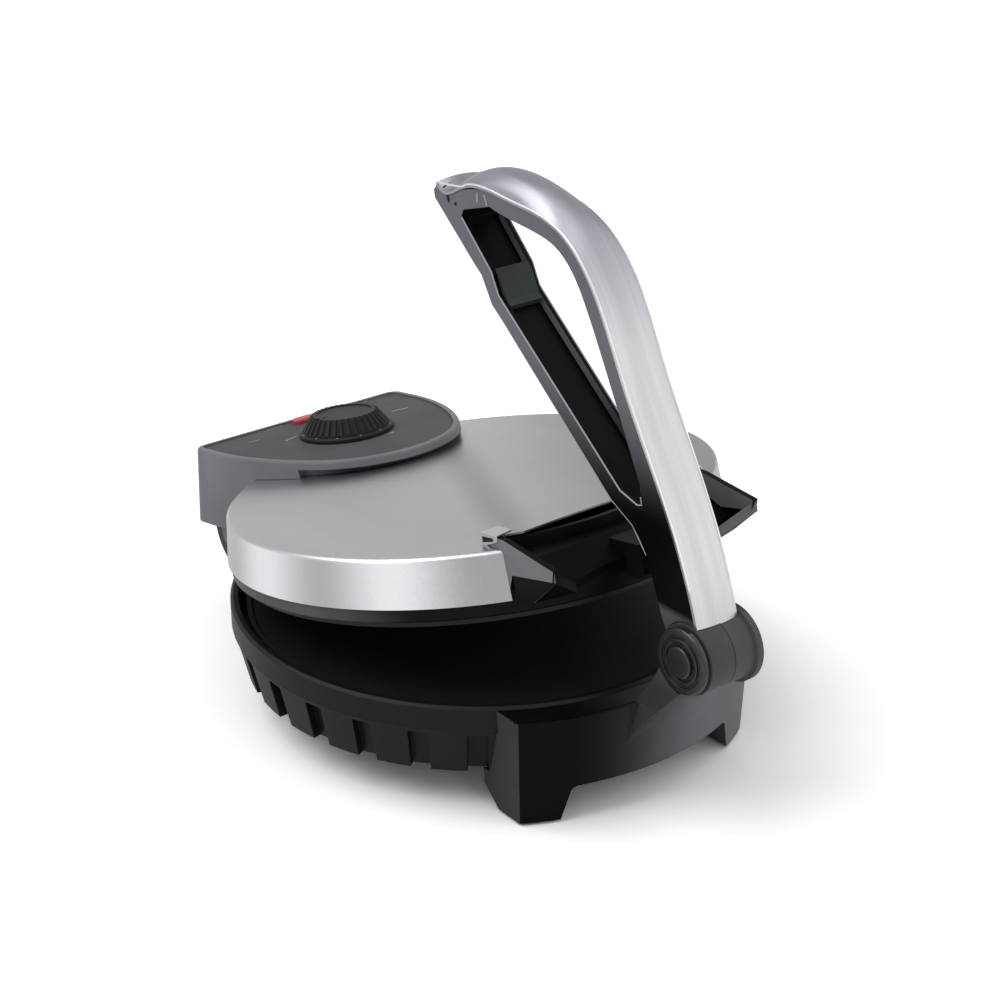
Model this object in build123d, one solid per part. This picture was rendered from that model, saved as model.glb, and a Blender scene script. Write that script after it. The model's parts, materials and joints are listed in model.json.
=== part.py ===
from build123d import *
import os
from math import atan2, cos, pi, radians, sin

os.makedirs("parts", exist_ok=True)

# All sizes in millimetres. The cooking plates' axis is vertical, X runs along the lid hinge,
# the lever stands at the front (-Y) and the lid hinge is at the back (+Y).

# driving sizes: the base's radius and height carry the plates, lid, bracket and housing along
RIM_R = 135.0
RIM_TOP = 61.0

# clearances
SEAT_GAP = 0.15
BRACKET_GAP = 0.2
HUB_GAP = 0.4
PIN_FIT = 0.05
SCREW_CLEAR = 0.2
COVER_GAP = 0.3
HINGE_EAR_GAP = 0.3
PAST = 1.0

# cooking plates
PLATE_R = RIM_R - 8.5
PLATE_THICK = 5.5
PLATE_LIP = 1.5
PLATE_LIP_WIDTH = 2.5
PLATE_EDGE = 2.0
PLATE_GAP = 1.6
SEAT_TOP = RIM_TOP - 12.0
LOWER_BACK = SEAT_TOP + SEAT_GAP
LOWER_TOP = LOWER_BACK + PLATE_THICK + PLATE_LIP
UPPER_BACK = LOWER_TOP + PLATE_GAP + PLATE_THICK + PLATE_LIP

# base shell
RIM_WIDTH = 4.5
RIM_ROUND = 1.5
BAND_HEIGHT = 15.0
BAND_STEP = 1.0
SKIRT_R = RIM_R - 7.0
SKIRT_BOTTOM = 21.0
SKIRT_WALL = 8.0
SEAT_INNER_R = RIM_R - 17.0
SEAT_THICK = 2.5
NOTCH_COUNT = 28
NOTCH_WIDTH = 10.5
NOTCH_DEPTH = 5.0
NOTCH_TOP = RIM_TOP - 16.0
NOTCH_ROUND = 1.5

# bottom cover, its screws and the rear legs
COVER_THICK = 2.5
VENT_LENGTH = 34.0
VENT_WIDTH = 4.0
VENT_R = 84.0
VENT_ANGLES = (20, 40, 60, 120, 140, 160, 200, 220, 320, 340)
BOSS_AT = RIM_R - 22.0
BOSS_R = 5.0
BOSS_TOP = RIM_TOP - 21.0
BOSS_ROOF = 2.0
BOSS_ANGLES = (-90, 10, 170)
LEG_X = 74.0
LEG_Y = 72.0
LEG_TOP_R = 13.0
LEG_R = 10.0

# screws
SCREW_R = 1.9
SCREW_HEAD_R = 3.6
SCREW_HEAD = 2.2
SCREW_X = 35.0
SCREW_LENGTH = 22.0
HINGE_SCREW_Y = RIM_R - 18.5
HINGE_SCREW_Z = RIM_TOP - 23.0
BRACKET_SCREW_Y = 17.5 - RIM_R
BRACKET_SCREW_Z = RIM_TOP - 21.0
TRAY_BOLTS = [(40, 22 - RIM_R), (-40, 22 - RIM_R)]
HOOD_BOLTS = [(24, RIM_R - 45), (-24, RIM_R - 45)]

# front bracket: apron, feet, neck and pivot knuckle
APRON_R = RIM_R + 14.5
APRON_FOOT_R = RIM_R + 12.0
APRON_HALF_WIDTH = 77.0
APRON_TOP = RIM_TOP - 1.5
APRON_WALL = 3.5
APRON_GROOVE = 1.0
ARCH_HEIGHT = 20.0
ARCH_CORNER = 51.0
ARCH_ROUND = 4.0
FOOT_OUTER = 74.5
FOOT_INNER = 56.0
FOOT_BACK = 36.0 - RIM_R
FOOT_TOE_BACK = 25.0 - RIM_R
FOOT_HEEL = 12.0
PAD_THICK = 1.5
PAD_MARGIN = 2.5
PAD_REACH = 30.0
NECK_HALF_WIDTH = 17.0
NECK_ROOT_HALF = 23.0
NECK_ROOT = 42.0
NECK_WAIST = 60.0

# lever pivot
PIVOT_Y = -42.0 - RIM_R
PIVOT_Z = RIM_TOP + 34.0
KNUCKLE_R = 18.0
KNUCKLE_LEFT = -14.0
HUB_LEFT = 1.2
HUB_RIGHT = 17.5
HUB_R = 18.0
FLANGE_R = 20.0
FLANGE_LEFT = 14.0
PIN_R = 4.0
CAP_R = 17.0
CAP_THICK = 3.0
CAP_SPIGOT = 1.2
CAP_RING_WIDTH = 1.8
CAP_RING_DEPTH = 1.2
BUTTON_R = 8.2
BUTTON_RISE = 1.6

# neck in side view, from the apron up to the pivot, as (y, z) from the pivot
NECK_FRONT = [(29.7, -56.0), (27.8, -51.0), (21.0, -41.0), (9.0, -27.0), (-6.0, -11.0)]
NECK_BACK = [(11.0, 0.0), (19.0, -17.0), (34.0, -38.0), (34.0, -56.0)]

# lever: lines in side view as (y, z) from the pivot
LEVER_TIP_HALF = 14.0
LEVER_ROOT_HALF = 13.0
LEVER_HEIGHT = 195.0
LEVER_INSET = 0.4
RAIL_WALL = 2.6
RAIL_FLOOR = 5.0
SKIN_GAP = 0.15
SKIN_EDGE = 1.6
SKIN_SHEET = 1.2
SKIN_END = 0.012
SKIN_PATH = [
    (195.0, 186.5),
    (178.0, 188.0),
    (159.0, 192.6),
    (133.0, 191.2),
    (103.5, 187.6),
    (82.6, 173.8),
    (66.3, 151.6),
    (52.7, 125.7),
    (27.3, 82.9),
    (-4.5, 15.0),
]
SKIN_CROWN = [1.5, 4.0, 7.5, 9.5, 6.5, 2.5, 1.2, 1.0, 0.8, 0.8, 0.8, 0.8, 0.8, 0.8, 0.8, 0.8]
HEEL_CURVE = [(12.0, 3.0), (22.8, 21.1), (32.1, 42.3), (42.6, 54.4)]
RAIL_LINE = [
    (42.6, 54.4),
    (58.2, 62.2),
    (142.6, 129.7),
    (150.3, 135.3),
    (158.6, 148.8),
    (163.9, 152.6),
    (196.7, 179.7),
    (197.5, 183.5),
    (195.0, 186.5),
]
WINDOW_BACK = [
    (152.0, 185.6),
    (136.0, 183.2),
    (113.4, 181.2),
    (103.1, 178.9),
    (91.8, 172.0),
    (79.2, 155.6),
    (64.9, 129.8),
    (55.0, 111.0),
    (38.0, 78.0),
]
WINDOW_FLOOR = [(35.0, 65.0), (52.0, 69.2), (145.5, 141.5), (151.4, 152.5), (175.0, 174.5)]
WINDOW_END = (173.0, 179.0)
CATCH_OUTLINE = [
    (141.8, 133.9),
    (145.3, 136.7),
    (151.2, 147.7),
    (154.2, 150.4),
    (151.5, 153.3),
    (148.0, 150.2),
    (142.2, 139.3),
    (139.3, 137.1),
]

# lid, drawn closed
LID_R = RIM_R - 1.5
LID_EDGE_R = RIM_R - 4.0
LID_EDGE_Z = RIM_TOP + 32.9
LID_DOME = 4.6
LID_DOME_HALF = 3.39
LID_ROLL = 3.0
LID_SIDE_BOTTOM = RIM_TOP + 8.0
LID_SHEET = 1.0
RING_R = RIM_R - 3.0
RING_BOTTOM = RIM_TOP + 0.6
RING_INNER_R = RIM_R - 7.5
RING_EDGE = 1.0
LID_FRAME_WALL = 3.0
LID_DECK_Z = RIM_TOP + 23.0
SEAT_WIDTH = 8.0
RECESS_HALF = 57.0
RECESS_BACK_R = RIM_R - 25.0
SIDE_CUT_HALF = 66.0
REAR_OPEN_HALF = 30.0
REAR_OPEN_FRONT = RIM_R - 55.0

# handle tray at the front of the lid; lines in side view as (y, z) from the rim and the deck
TRAY_EDGE = 3.0
SCOOP_HALF = 62.3
SCOOP_END = 20.0
SCOOP_UNDER = [(-23.0, 0.0), (-17.0, -1.0), (4.0, -11.5)]
SCOOP_OVER = [(4.0, -7.2), (-17.0, 3.0), (-24.5, 3.0)]
SCOOP_PLAN = [(66.0, -35.0), (66.0, -3.0), (44.0, 3.5), (22.0, 0.5)]
EAR_BACK = RIM_R - 34.0
EAR_THICK = 3.5
EAR_OUTLINE = [
    (-33.7, 15.5),
    (-21.0, 15.0),
    (15.5, 6.0),
    (14.0, 0.5),
    (-17.0, -2.0),
    (-21.0, -12.0),
    (-33.7, -12.0),
]
EAR_TIP = (65.0, 15.5, 6.0)
CORNER_FOOT = (44.0, 3.5, -7.2)
CORNER_HEEL = (65.0, -3.0, -7.2)
CORNER_THICK = 6.0
PRESS_HALF = 10.0
PRESS_EDGE = 2.0
PRESS_LOW = (13.0, -15.0)
PRESS_HIGH = (-11.0, 2.5)
PRESS_UNDER = [(-35.0, -24.0), (0.65, -24.0), (0.65, -5.42), (-17.0, 3.15), (-35.0, 3.15)]
TRAY_SCREW_TOP = LID_DECK_Z + 2.2

# lid hinge
HINGE_Y = RIM_R + 4.0
HINGE_Z = RIM_TOP - 3.0
HINGE_BLOCK_R = 30.0
HINGE_BLOCK_HALF = 66.0
HINGE_BLOCK_ROUND = 5.0
HINGE_KNUCKLE_INNER = 58.0
HINGE_KNUCKLE_R = 10.0
HINGE_PIN_R = 3.0
EAR_INNER = HINGE_BLOCK_HALF + HINGE_EAR_GAP
EAR_OUTER = 71.5
EAR_ROOT = 24.0
LID_AJAR = 10.6

# bush of the mains lead, low on the back of the hinge block
GLAND_X = -46.0
GLAND_DIP = 72.0
GLAND_FOOT = 10.0
GLAND_R = 6.0
GLAND_FIT = 0.1
GLAND_FLANGE_R = 7.5
GLAND_FLANGE = 1.6
GLAND_BORE_R = 3.6

# control housing on the lid
HOOD_TOP = RIM_TOP + 44.0
HOOD_BOTTOM = RIM_TOP + 2.0
HOOD_HALF = 71.0
HOOD_BACK = HINGE_Y + 31.0
HOOD_NOSE_R = 58.0
HOOD_NOSE_Y = HINGE_Y - 34.0
HOOD_NOSE_ANGLE = 57.8
HOOD_SIDE_R = 142.4
HOOD_SIDE_Y = HINGE_Y + 11.0
HOOD_CORNER_R = 8.0
HOOD_CORNER_LEAST = 2.0
HOOD_ROUND = 1.5
HOOD_DRAFT = 6.5
HOOD_WALL = 3.0
HOOD_LIP = 4.5
HOOD_UNDERCUT = 4.0
HOOD_UNDERCUT_HALF = 55.0
HOOD_UNDERCUT_BACK = HOOD_NOSE_Y - 20.0
HOOD_FRONT_BACK = HOOD_NOSE_Y - 15.0
HOOD_POST_R = 4.5
HOOD_POST_TOP = HOOD_TOP - 6.5
HOOD_SCREW_TOP = HOOD_TOP - 8.0
HOOD_RIB_HALF = 2.0
PANEL_INSET = 3.5
PANEL_SINK = 1.0
PANEL_THICK = 2.4
PANEL_LOW = HOOD_TOP - PANEL_SINK - PANEL_THICK
LEDGE_WIDTH = 3.0

# dial and lamp
DIAL_Y = HINGE_Y - 22.5
DIAL_HEIGHT = 11.5
DIAL_SKIRT_R = 27.0
DIAL_SKIRT_THICK = 2.6
DIAL_COLLAR = 3.6
DIAL_FOOT_R = 24.8
DIAL_TOP_R = 19.4
DIAL_EDGE = 0.6
DIAL_RIBS = 36
DIAL_GROOVE_R = 1.1
DIAL_FACE_R = 16.0
DIAL_FACE_SINK = 0.6
DIAL_GAP = 0.4
DIAL_LOW = HOOD_TOP - PANEL_SINK + DIAL_GAP
POINTER_WIDTH = 1.6
POINTER_LENGTH = 7.0
SHAFT_R = 3.0
SHAFT_HOLE = 0.5
SHAFT_TOP = 7.9
SHAFT_SOCKET = 8.0
THERMO_HALF = 16.0
THERMO_BACK = 8.0
THERMO_TOP = HOOD_TOP - 7.0
THERMO_LOW = LID_DECK_Z - 5.4
THERMO_FOOT = 1.6
THERMO_EAR = 6.0
LAMP_Y = HINGE_Y + 21.5
LAMP_LENGTH = 16.0
LAMP_WIDTH = 8.0
LAMP_RISE = 2.0
LAMP_FIT = 0.3
LAMP_ROUND = 1.5
HOLDER_SIZE = (19.0, 10.0, 11.0)
HOLDER_ROOM = (20.0, 12.0, 16.6)

# heating elements and what holds them
ELEMENT_R = 84.0
ELEMENT_TUBE_R = 3.5
ELEMENT_GAP = 0.1
ELEMENT_OPEN = 30.0
ELEMENT_TAIL = 14.0
REFLECTOR_R = RIM_R - 21.0
REFLECTOR_THICK = 0.8
REFLECTOR_DEPTH = 12.0
REFLECTOR_BRIM = 3.0
REFLECTOR_HOLE = 1.5
CLAMP_COUNT = 3
CLAMP_TURN = 30.0
CLAMP_OUTER = 8.0
CLAMP_INNER = 16.0
CLAMP_WIDTH = 22.0
CLAMP_THICK = 1.6
CLAMP_POST_R = 4.5
CLAMP_POST_AT = 11.5

# wiring pieces on the lid's deck
TERMINAL_LOW = (-46.0, RIM_R - 39.0)
TERMINAL_HIGH = (-26.0, RIM_R - 25.0)
TERMINAL_RISE = 9.0
TERMINAL_HOLES = (-43.0, -36.0, -29.0)
TERMINAL_HOLE_R = 1.6
TERMINAL_HOLE_DEPTH = 4.0
FUSE_R = 2.6
FUSE_LEFT = 26.0
FUSE_RIGHT = 48.0
FUSE_Y = RIM_R - 32.0


def ring_profile(*points):
    """Turns a closed outline of (radius, height) points about the plates' axis."""
    outline = Plane.XZ * make_face(Polyline(*points, close=True))
    return revolve(outline, Axis.Z)


def side_slab(points, left, right):
    """Extrudes a closed outline of (y, z) points from x = left to x = right."""
    outline = Plane.YZ.offset(left) * make_face(Polyline(*points, close=True))
    return extrude(outline, amount=right - left)


def cross_rod(radius, left, right, y, z):
    """A rod along X between two x values."""
    disc = Plane.YZ.offset(left) * Pos(y, z) * Circle(radius)
    return extrude(disc, amount=right - left)


def upright(radius, low, high, x=0.0, y=0.0):
    """An upright rod between two heights."""
    return Pos(x, y, low) * extrude(Circle(radius), amount=high - low)


def block(low_corner, high_corner):
    """A box between two opposite corners."""
    size = [high - low for low, high in zip(low_corner, high_corner)]
    middle = [(high + low) / 2 for low, high in zip(low_corner, high_corner)]
    return Pos(*middle) * Box(*size)


def from_pivot(points):
    """Points of a side view given from the lever's pivot."""
    return [(PIVOT_Y + y, PIVOT_Z + z) for y, z in points]


def from_rim(points):
    """Points of the tray's side view given from the base's rim and the lid's deck."""
    return [(-RIM_R - y, LID_DECK_Z + z) for y, z in points]


def both_sides(piece):
    """A piece and its mirror image in the middle plane."""
    return piece + mirror(piece, Plane.YZ)


def solids_of(piece):
    """The single solids of any shape."""
    return list(piece.solids())


# ---------------------------------------------------------------- base


def base_envelope(gap, low):
    """The outside of the base shell, wider by a gap, for pieces that fit round it."""
    return ring_profile(
        (0, low),
        (SKIRT_R + gap, low),
        (SKIRT_R + gap, SKIRT_BOTTOM),
        (RIM_R - BAND_STEP + gap, RIM_TOP - BAND_HEIGHT),
        (RIM_R + gap, RIM_TOP - BAND_HEIGHT + BAND_STEP),
        (RIM_R + gap, RIM_TOP + RIM_WIDTH),
        (0, RIM_TOP + RIM_WIDTH),
    )


def base_shell():
    """Round shell: smooth rim band above a tapered skirt with open-bottomed notches."""
    rim_inner = RIM_R - RIM_WIDTH
    shell = ring_profile(
        (SKIRT_R - SKIRT_WALL, SKIRT_BOTTOM),
        (SKIRT_R, SKIRT_BOTTOM),
        (RIM_R - BAND_STEP, RIM_TOP - BAND_HEIGHT),
        (RIM_R, RIM_TOP - BAND_HEIGHT + BAND_STEP),
        (RIM_R, RIM_TOP - RIM_ROUND),
        (RIM_R - RIM_ROUND, RIM_TOP),
        (rim_inner, RIM_TOP),
        (rim_inner - RIM_ROUND, SEAT_TOP),
        (SEAT_INNER_R, SEAT_TOP),
        (SEAT_INNER_R, SEAT_TOP - SEAT_THICK),
        (RIM_R - SKIRT_WALL, SEAT_TOP - SEAT_THICK),
    )
    notch = side_slab(
        [
            (-RIM_R - NOTCH_DEPTH, SKIRT_BOTTOM - PAST),
            (NOTCH_DEPTH - SKIRT_R, SKIRT_BOTTOM - PAST),
            (NOTCH_DEPTH - RIM_R + BAND_STEP, NOTCH_TOP),
            (-RIM_R - NOTCH_DEPTH, NOTCH_TOP),
        ],
        -NOTCH_WIDTH / 2,
        NOTCH_WIDTH / 2,
    )
    notch = fillet(notch.edges().filter_by(Axis.Y).group_by(Axis.Z)[-1], NOTCH_ROUND)
    for index in range(NOTCH_COUNT):
        shell -= Rot(0, 0, index * 360 / NOTCH_COUNT) * notch
    boss_low = SKIRT_BOTTOM + COVER_THICK + SEAT_GAP
    for angle in BOSS_ANGLES:
        boss = upright(BOSS_R, boss_low, BOSS_TOP, BOSS_AT)
        boss += block((BOSS_AT, -BOSS_R / 2, boss_low), (RIM_R - SKIRT_WALL, BOSS_R / 2, BOSS_TOP))
        boss -= upright(SCREW_R, SKIRT_BOTTOM, BOSS_TOP - BOSS_ROOF, BOSS_AT)
        shell += Rot(0, 0, angle) * boss
    hole_r = SCREW_R + SCREW_CLEAR
    shell -= both_sides(screw_rod(hole_r, SCREW_X, HINGE_SCREW_Z, HINGE_SCREW_Y, SCREW_LENGTH))
    shell -= both_sides(screw_rod(hole_r, SCREW_X, BRACKET_SCREW_Z, BRACKET_SCREW_Y, -SCREW_LENGTH))
    return shell


def base_cover():
    """Flat bottom cover inside the skirt, with rear legs' seats and vent slots."""
    edge = SKIRT_R - SKIRT_WALL - COVER_GAP
    cover = upright(edge, SKIRT_BOTTOM, SKIRT_BOTTOM + COVER_THICK)
    slot = extrude(SlotOverall(VENT_LENGTH, VENT_WIDTH), amount=3 * COVER_THICK)
    for angle in VENT_ANGLES:
        cover -= Rot(0, 0, angle) * Pos(VENT_R, 0, SKIRT_BOTTOM - COVER_THICK) * slot
    for angle in BOSS_ANGLES:
        hole = upright(SCREW_R + SCREW_CLEAR, SKIRT_BOTTOM - PAST, RIM_TOP, BOSS_AT)
        cover -= Rot(0, 0, angle) * hole
    leg = loft(
        [
            Pos(LEG_X, LEG_Y, SKIRT_BOTTOM + PAST) * Circle(LEG_TOP_R),
            Pos(LEG_X, LEG_Y, PAD_THICK) * Circle(LEG_R),
        ]
    )
    return cover + both_sides(leg)


def screw_rod(radius, x, z, start, length):
    """A rod along Y from start, forwards or backwards by the sign of its length."""
    turn = -90 if length > 0 else 90
    return Pos(x, start, z) * Rot(turn, 0, 0) * extrude(Circle(radius), amount=abs(length))


def side_screws(z, start, length):
    """A pair of screws along Y with their heads inside the shell."""
    toward = 1 if length > 0 else -1
    head = screw_rod(SCREW_HEAD_R, SCREW_X, z, start, -toward * SCREW_HEAD)
    return both_sides(head + screw_rod(SCREW_R, SCREW_X, z, start, length))


def cover_screws():
    """Screws of the bottom cover, heads below it."""
    group = []
    for angle in BOSS_ANGLES:
        screw = upright(SCREW_HEAD_R, SKIRT_BOTTOM - SCREW_HEAD, SKIRT_BOTTOM, BOSS_AT)
        screw += upright(SCREW_R, SKIRT_BOTTOM, BOSS_TOP - BOSS_ROOF, BOSS_AT)
        group.append(Rot(0, 0, angle) * screw)
    return Compound(children=[solid for screw in group for solid in solids_of(screw)])


def lid_screws(places, head_top, shank_top):
    """Upright screws below the lid's deck."""
    group = []
    for x, y in places:
        head = upright(SCREW_HEAD_R, head_top - SCREW_HEAD, head_top, x, y)
        group.append(head + upright(SCREW_R, head_top, shank_top, x, y))
    return Compound(children=[solid for screw in group for solid in solids_of(screw)])


def feet_outline():
    """Ground outline of the left front foot, a strip of the apron's arc."""
    middle = -(FOOT_OUTER + FOOT_INNER) / 2
    strip = Rectangle(FOOT_OUTER - FOOT_INNER, 2 * PAD_REACH)
    return Circle(APRON_FOOT_R) & Pos(middle, FOOT_TOE_BACK - PAD_REACH) * strip


def rubber_pads():
    """Four anti-slip pads: one under each front foot and one under each rear leg."""
    front = extrude(offset(feet_outline(), amount=-PAD_MARGIN), amount=PAD_THICK)
    rear = upright(LEG_R - PAST, 0, PAD_THICK, -LEG_X, LEG_Y)
    return Compound(children=[*solids_of(both_sides(front)), *solids_of(both_sides(rear))])


def front_bracket():
    """Curved apron with two feet, an arch between them and the neck of the lever pivot."""
    body = loft([Pos(0, 0, PAD_THICK) * Circle(APRON_FOOT_R), Pos(0, 0, APRON_TOP) * Circle(APRON_R)])
    front_view = Polyline(
        (-FOOT_OUTER, PAD_THICK),
        (-APRON_HALF_WIDTH, APRON_TOP),
        (APRON_HALF_WIDTH, APRON_TOP),
        (FOOT_OUTER, PAD_THICK),
        (FOOT_INNER, PAD_THICK),
        (ARCH_CORNER, ARCH_HEIGHT),
        (-ARCH_CORNER, ARCH_HEIGHT),
        (-FOOT_INNER, PAD_THICK),
        close=True,
    )
    outline = make_face(front_view)
    outline = fillet(outline.vertices().filter_by(lambda v: abs(v.X) == ARCH_CORNER), ARCH_ROUND)
    body &= extrude(Plane.XZ * outline, amount=2 * APRON_R)
    body &= side_slab(
        [
            (-2 * APRON_R, PAD_THICK),
            (FOOT_TOE_BACK, PAD_THICK),
            (FOOT_BACK, FOOT_HEEL),
            (FOOT_BACK, APRON_TOP),
            (-2 * APRON_R, APRON_TOP),
        ],
        -APRON_R,
        APRON_R,
    )
    body -= base_envelope(BRACKET_GAP, SKIRT_BOTTOM - BRACKET_GAP)
    body -= upright(SKIRT_R + BRACKET_GAP, 0, RIM_TOP) & block(
        (-ARCH_CORNER, -APRON_R, ARCH_HEIGHT - PAST), (ARCH_CORNER, 0, SKIRT_BOTTOM)
    )
    groove = ring_profile(
        (APRON_R - 3 * APRON_GROOVE, APRON_TOP - APRON_GROOVE),
        (APRON_R - 2 * APRON_GROOVE, APRON_TOP - APRON_GROOVE),
        (APRON_R - 2 * APRON_GROOVE, RIM_TOP),
        (APRON_R - 3 * APRON_GROOVE, RIM_TOP),
    )
    body -= groove
    body -= apron_pocket()
    body += neck()
    hole = screw_rod(SCREW_R, SCREW_X, BRACKET_SCREW_Z, BRACKET_SCREW_Y, -SCREW_LENGTH)
    return body - both_sides(hole)


def apron_pocket():
    """The apron's hollow back, open below the arch, with a rib on each side of the neck."""
    hollow = ring_profile(
        (RIM_R + APRON_WALL, ARCH_HEIGHT - PAST),
        (APRON_R - APRON_WALL, ARCH_HEIGHT - PAST),
        (APRON_R - APRON_WALL, APRON_TOP - APRON_WALL),
        (RIM_R + APRON_WALL, APRON_TOP - APRON_WALL),
    )
    room = block(
        (NECK_ROOT_HALF, -APRON_R, ARCH_HEIGHT - 2 * PAST),
        (ARCH_CORNER - APRON_WALL, 0, APRON_TOP),
    )
    return both_sides(hollow & room)


def neck():
    """The curved neck above the apron, with the knuckle that carries the pivot pin."""
    front = from_pivot(NECK_FRONT)
    back = [front[-1], (PIVOT_Y, PIVOT_Z), *from_pivot(NECK_BACK), front[0]]
    edges = [Spline(*front).edge()]
    for start, end in zip(back, back[1:]):
        edges.append(Line(start, end).edge())
    stem = yz_prism(make_face(Wire(edges)), NECK_ROOT_HALF)
    view = make_face(
        Polyline(
            (-NECK_ROOT_HALF, 0),
            (-NECK_ROOT_HALF, NECK_ROOT),
            (-NECK_HALF_WIDTH, NECK_WAIST),
            (-NECK_HALF_WIDTH, PIVOT_Z),
            (NECK_HALF_WIDTH, PIVOT_Z),
            (NECK_HALF_WIDTH, NECK_WAIST),
            (NECK_ROOT_HALF, NECK_ROOT),
            (NECK_ROOT_HALF, 0),
            close=True,
        )
    )
    stem &= extrude(Plane.XZ * view, amount=2 * APRON_R)
    stem += cross_rod(KNUCKLE_R, KNUCKLE_LEFT, HUB_LEFT - HUB_GAP, PIVOT_Y, PIVOT_Z)
    stem -= cross_rod(KNUCKLE_R + HUB_GAP, -NECK_ROOT_HALF, KNUCKLE_LEFT, PIVOT_Y, PIVOT_Z)
    stem -= cross_rod(HUB_R + HUB_GAP, HUB_LEFT - HUB_GAP, HUB_RIGHT + PAST, PIVOT_Y, PIVOT_Z)
    stem -= cross_rod(FLANGE_R + HUB_GAP, FLANGE_LEFT - HUB_GAP, HUB_RIGHT + PAST, PIVOT_Y, PIVOT_Z)
    return stem - cross_rod(PIN_R, KNUCKLE_LEFT - PAST, HUB_RIGHT, PIVOT_Y, PIVOT_Z)


def pivot_pin():
    """The steel pin that the lever swings on, pressed into the knuckle."""
    return cross_rod(PIN_R, KNUCKLE_LEFT, HUB_RIGHT - PAST, PIVOT_Y, PIVOT_Z)


def knuckle_cap():
    """Ringed cover with a raised centre button, on a spigot at the knuckle's end."""
    spigot = extrude(Circle(CAP_R - CAP_SPIGOT), amount=CAP_SPIGOT)
    cap = spigot + Pos(0, 0, CAP_SPIGOT) * pivot_cap(CAP_R)
    return Pos(KNUCKLE_LEFT, PIVOT_Y, PIVOT_Z) * Rot(0, -90, 0) * cap


def hub_cap():
    """The plain cover on the hub's outer end."""
    cap = pivot_cap(CAP_R)
    return Pos(HUB_RIGHT, PIVOT_Y, PIVOT_Z) * Rot(0, 90, 0) * cap


def pivot_cap(radius):
    """A round cap with two turned rings and a button, standing on its back face."""
    cap = extrude(Circle(radius), amount=CAP_THICK)
    cap = fillet(cap.edges().group_by(Axis.Z)[-1], CAP_RING_DEPTH)
    for ring in (radius - 2 * CAP_RING_WIDTH, BUTTON_R + CAP_RING_WIDTH):
        groove = Circle(ring) - Circle(ring - CAP_RING_WIDTH)
        cap -= Pos(0, 0, CAP_THICK - CAP_RING_DEPTH) * extrude(groove, amount=CAP_THICK)
    button = extrude(Circle(BUTTON_R), amount=CAP_THICK + BUTTON_RISE)
    button = fillet(button.edges().group_by(Axis.Z)[-1], BUTTON_RISE / 2)
    return cap + button


def hinge_block():
    """Rounded block behind the base with the fixed knuckles of the lid hinge."""
    low = HINGE_Z - HINGE_BLOCK_R
    front = SEAT_INNER_R / 2
    back = HINGE_Y + HINGE_BLOCK_R
    middle = (HINGE_Y + HINGE_BLOCK_R * sin(pi / 4), HINGE_Z - HINGE_BLOCK_R * sin(pi / 4))
    outline = Plane.YZ.offset(-HINGE_BLOCK_HALF) * make_face(
        Wire(
            [
                Line((front, low), (HINGE_Y, low)).edge(),
                ThreePointArc((HINGE_Y, low), middle, (back, HINGE_Z)).edge(),
                Line((back, HINGE_Z), (front, HINGE_Z)).edge(),
                Line((front, HINGE_Z), (front, low)).edge(),
            ]
        )
    )
    body = extrude(outline, amount=2 * HINGE_BLOCK_HALF)
    ends = body.edges().filter_by(GeomType.CIRCLE)
    body = fillet(ends, HINGE_BLOCK_ROUND)
    ear = cross_rod(HINGE_KNUCKLE_R, HINGE_KNUCKLE_INNER, HINGE_BLOCK_HALF, HINGE_Y, HINGE_Z)
    body += both_sides(ear)
    body -= base_envelope(SEAT_GAP, 0)
    pin_end = HINGE_BLOCK_HALF + PAST
    pin_hole = cross_rod(HINGE_PIN_R, HINGE_KNUCKLE_INNER - PAST, pin_end, HINGE_Y, HINGE_Z)
    body -= both_sides(pin_hole)
    body -= cable_hole(GLAND_R + GLAND_FIT)
    body -= both_sides(screw_rod(SCREW_R, SCREW_X, HINGE_SCREW_Z, HINGE_SCREW_Y, SCREW_LENGTH))
    return body


def cable_hole(radius):
    """Where the mains lead enters low on the back of the hinge block."""
    return gland_place() * Pos(0, 0, GLAND_FOOT) * extrude(Circle(radius), amount=2 * HINGE_BLOCK_R)


def gland_place():
    """The gland's axis: from the hinge axis, steeply down and back, clear of the moving housing."""
    return Pos(GLAND_X, HINGE_Y, HINGE_Z) * Rot(-90 - GLAND_DIP, 0, 0)


def cable_gland():
    """Bush in the hinge block that the mains lead passes through."""
    length = HINGE_BLOCK_R + SEAT_GAP - GLAND_FOOT
    bore = Circle(GLAND_BORE_R)
    body = extrude(Circle(GLAND_R) - bore, amount=length + GLAND_FLANGE)
    flange = extrude(Circle(GLAND_FLANGE_R) - bore, amount=GLAND_FLANGE)
    return gland_place() * Pos(0, 0, GLAND_FOOT) * (body + Pos(0, 0, length) * flange)


def hinge_pins():
    """Two short pins that carry the lid."""
    pin = cross_rod(HINGE_PIN_R, HINGE_KNUCKLE_INNER, EAR_OUTER - HINGE_EAR_GAP, HINGE_Y, HINGE_Z)
    return both_sides(pin)


def plate(low):
    """Round cast cooking plate with a thin raised lip, its cooking face up."""
    high = low + PLATE_THICK
    return ring_profile(
        (0, low),
        (PLATE_R - PLATE_EDGE, low),
        (PLATE_R, low + PLATE_EDGE),
        (PLATE_R, high + PLATE_LIP),
        (PLATE_R - PLATE_LIP_WIDTH, high + PLATE_LIP),
        (PLATE_R - PLATE_LIP_WIDTH - PLATE_LIP, high),
        (0, high),
    )


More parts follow.
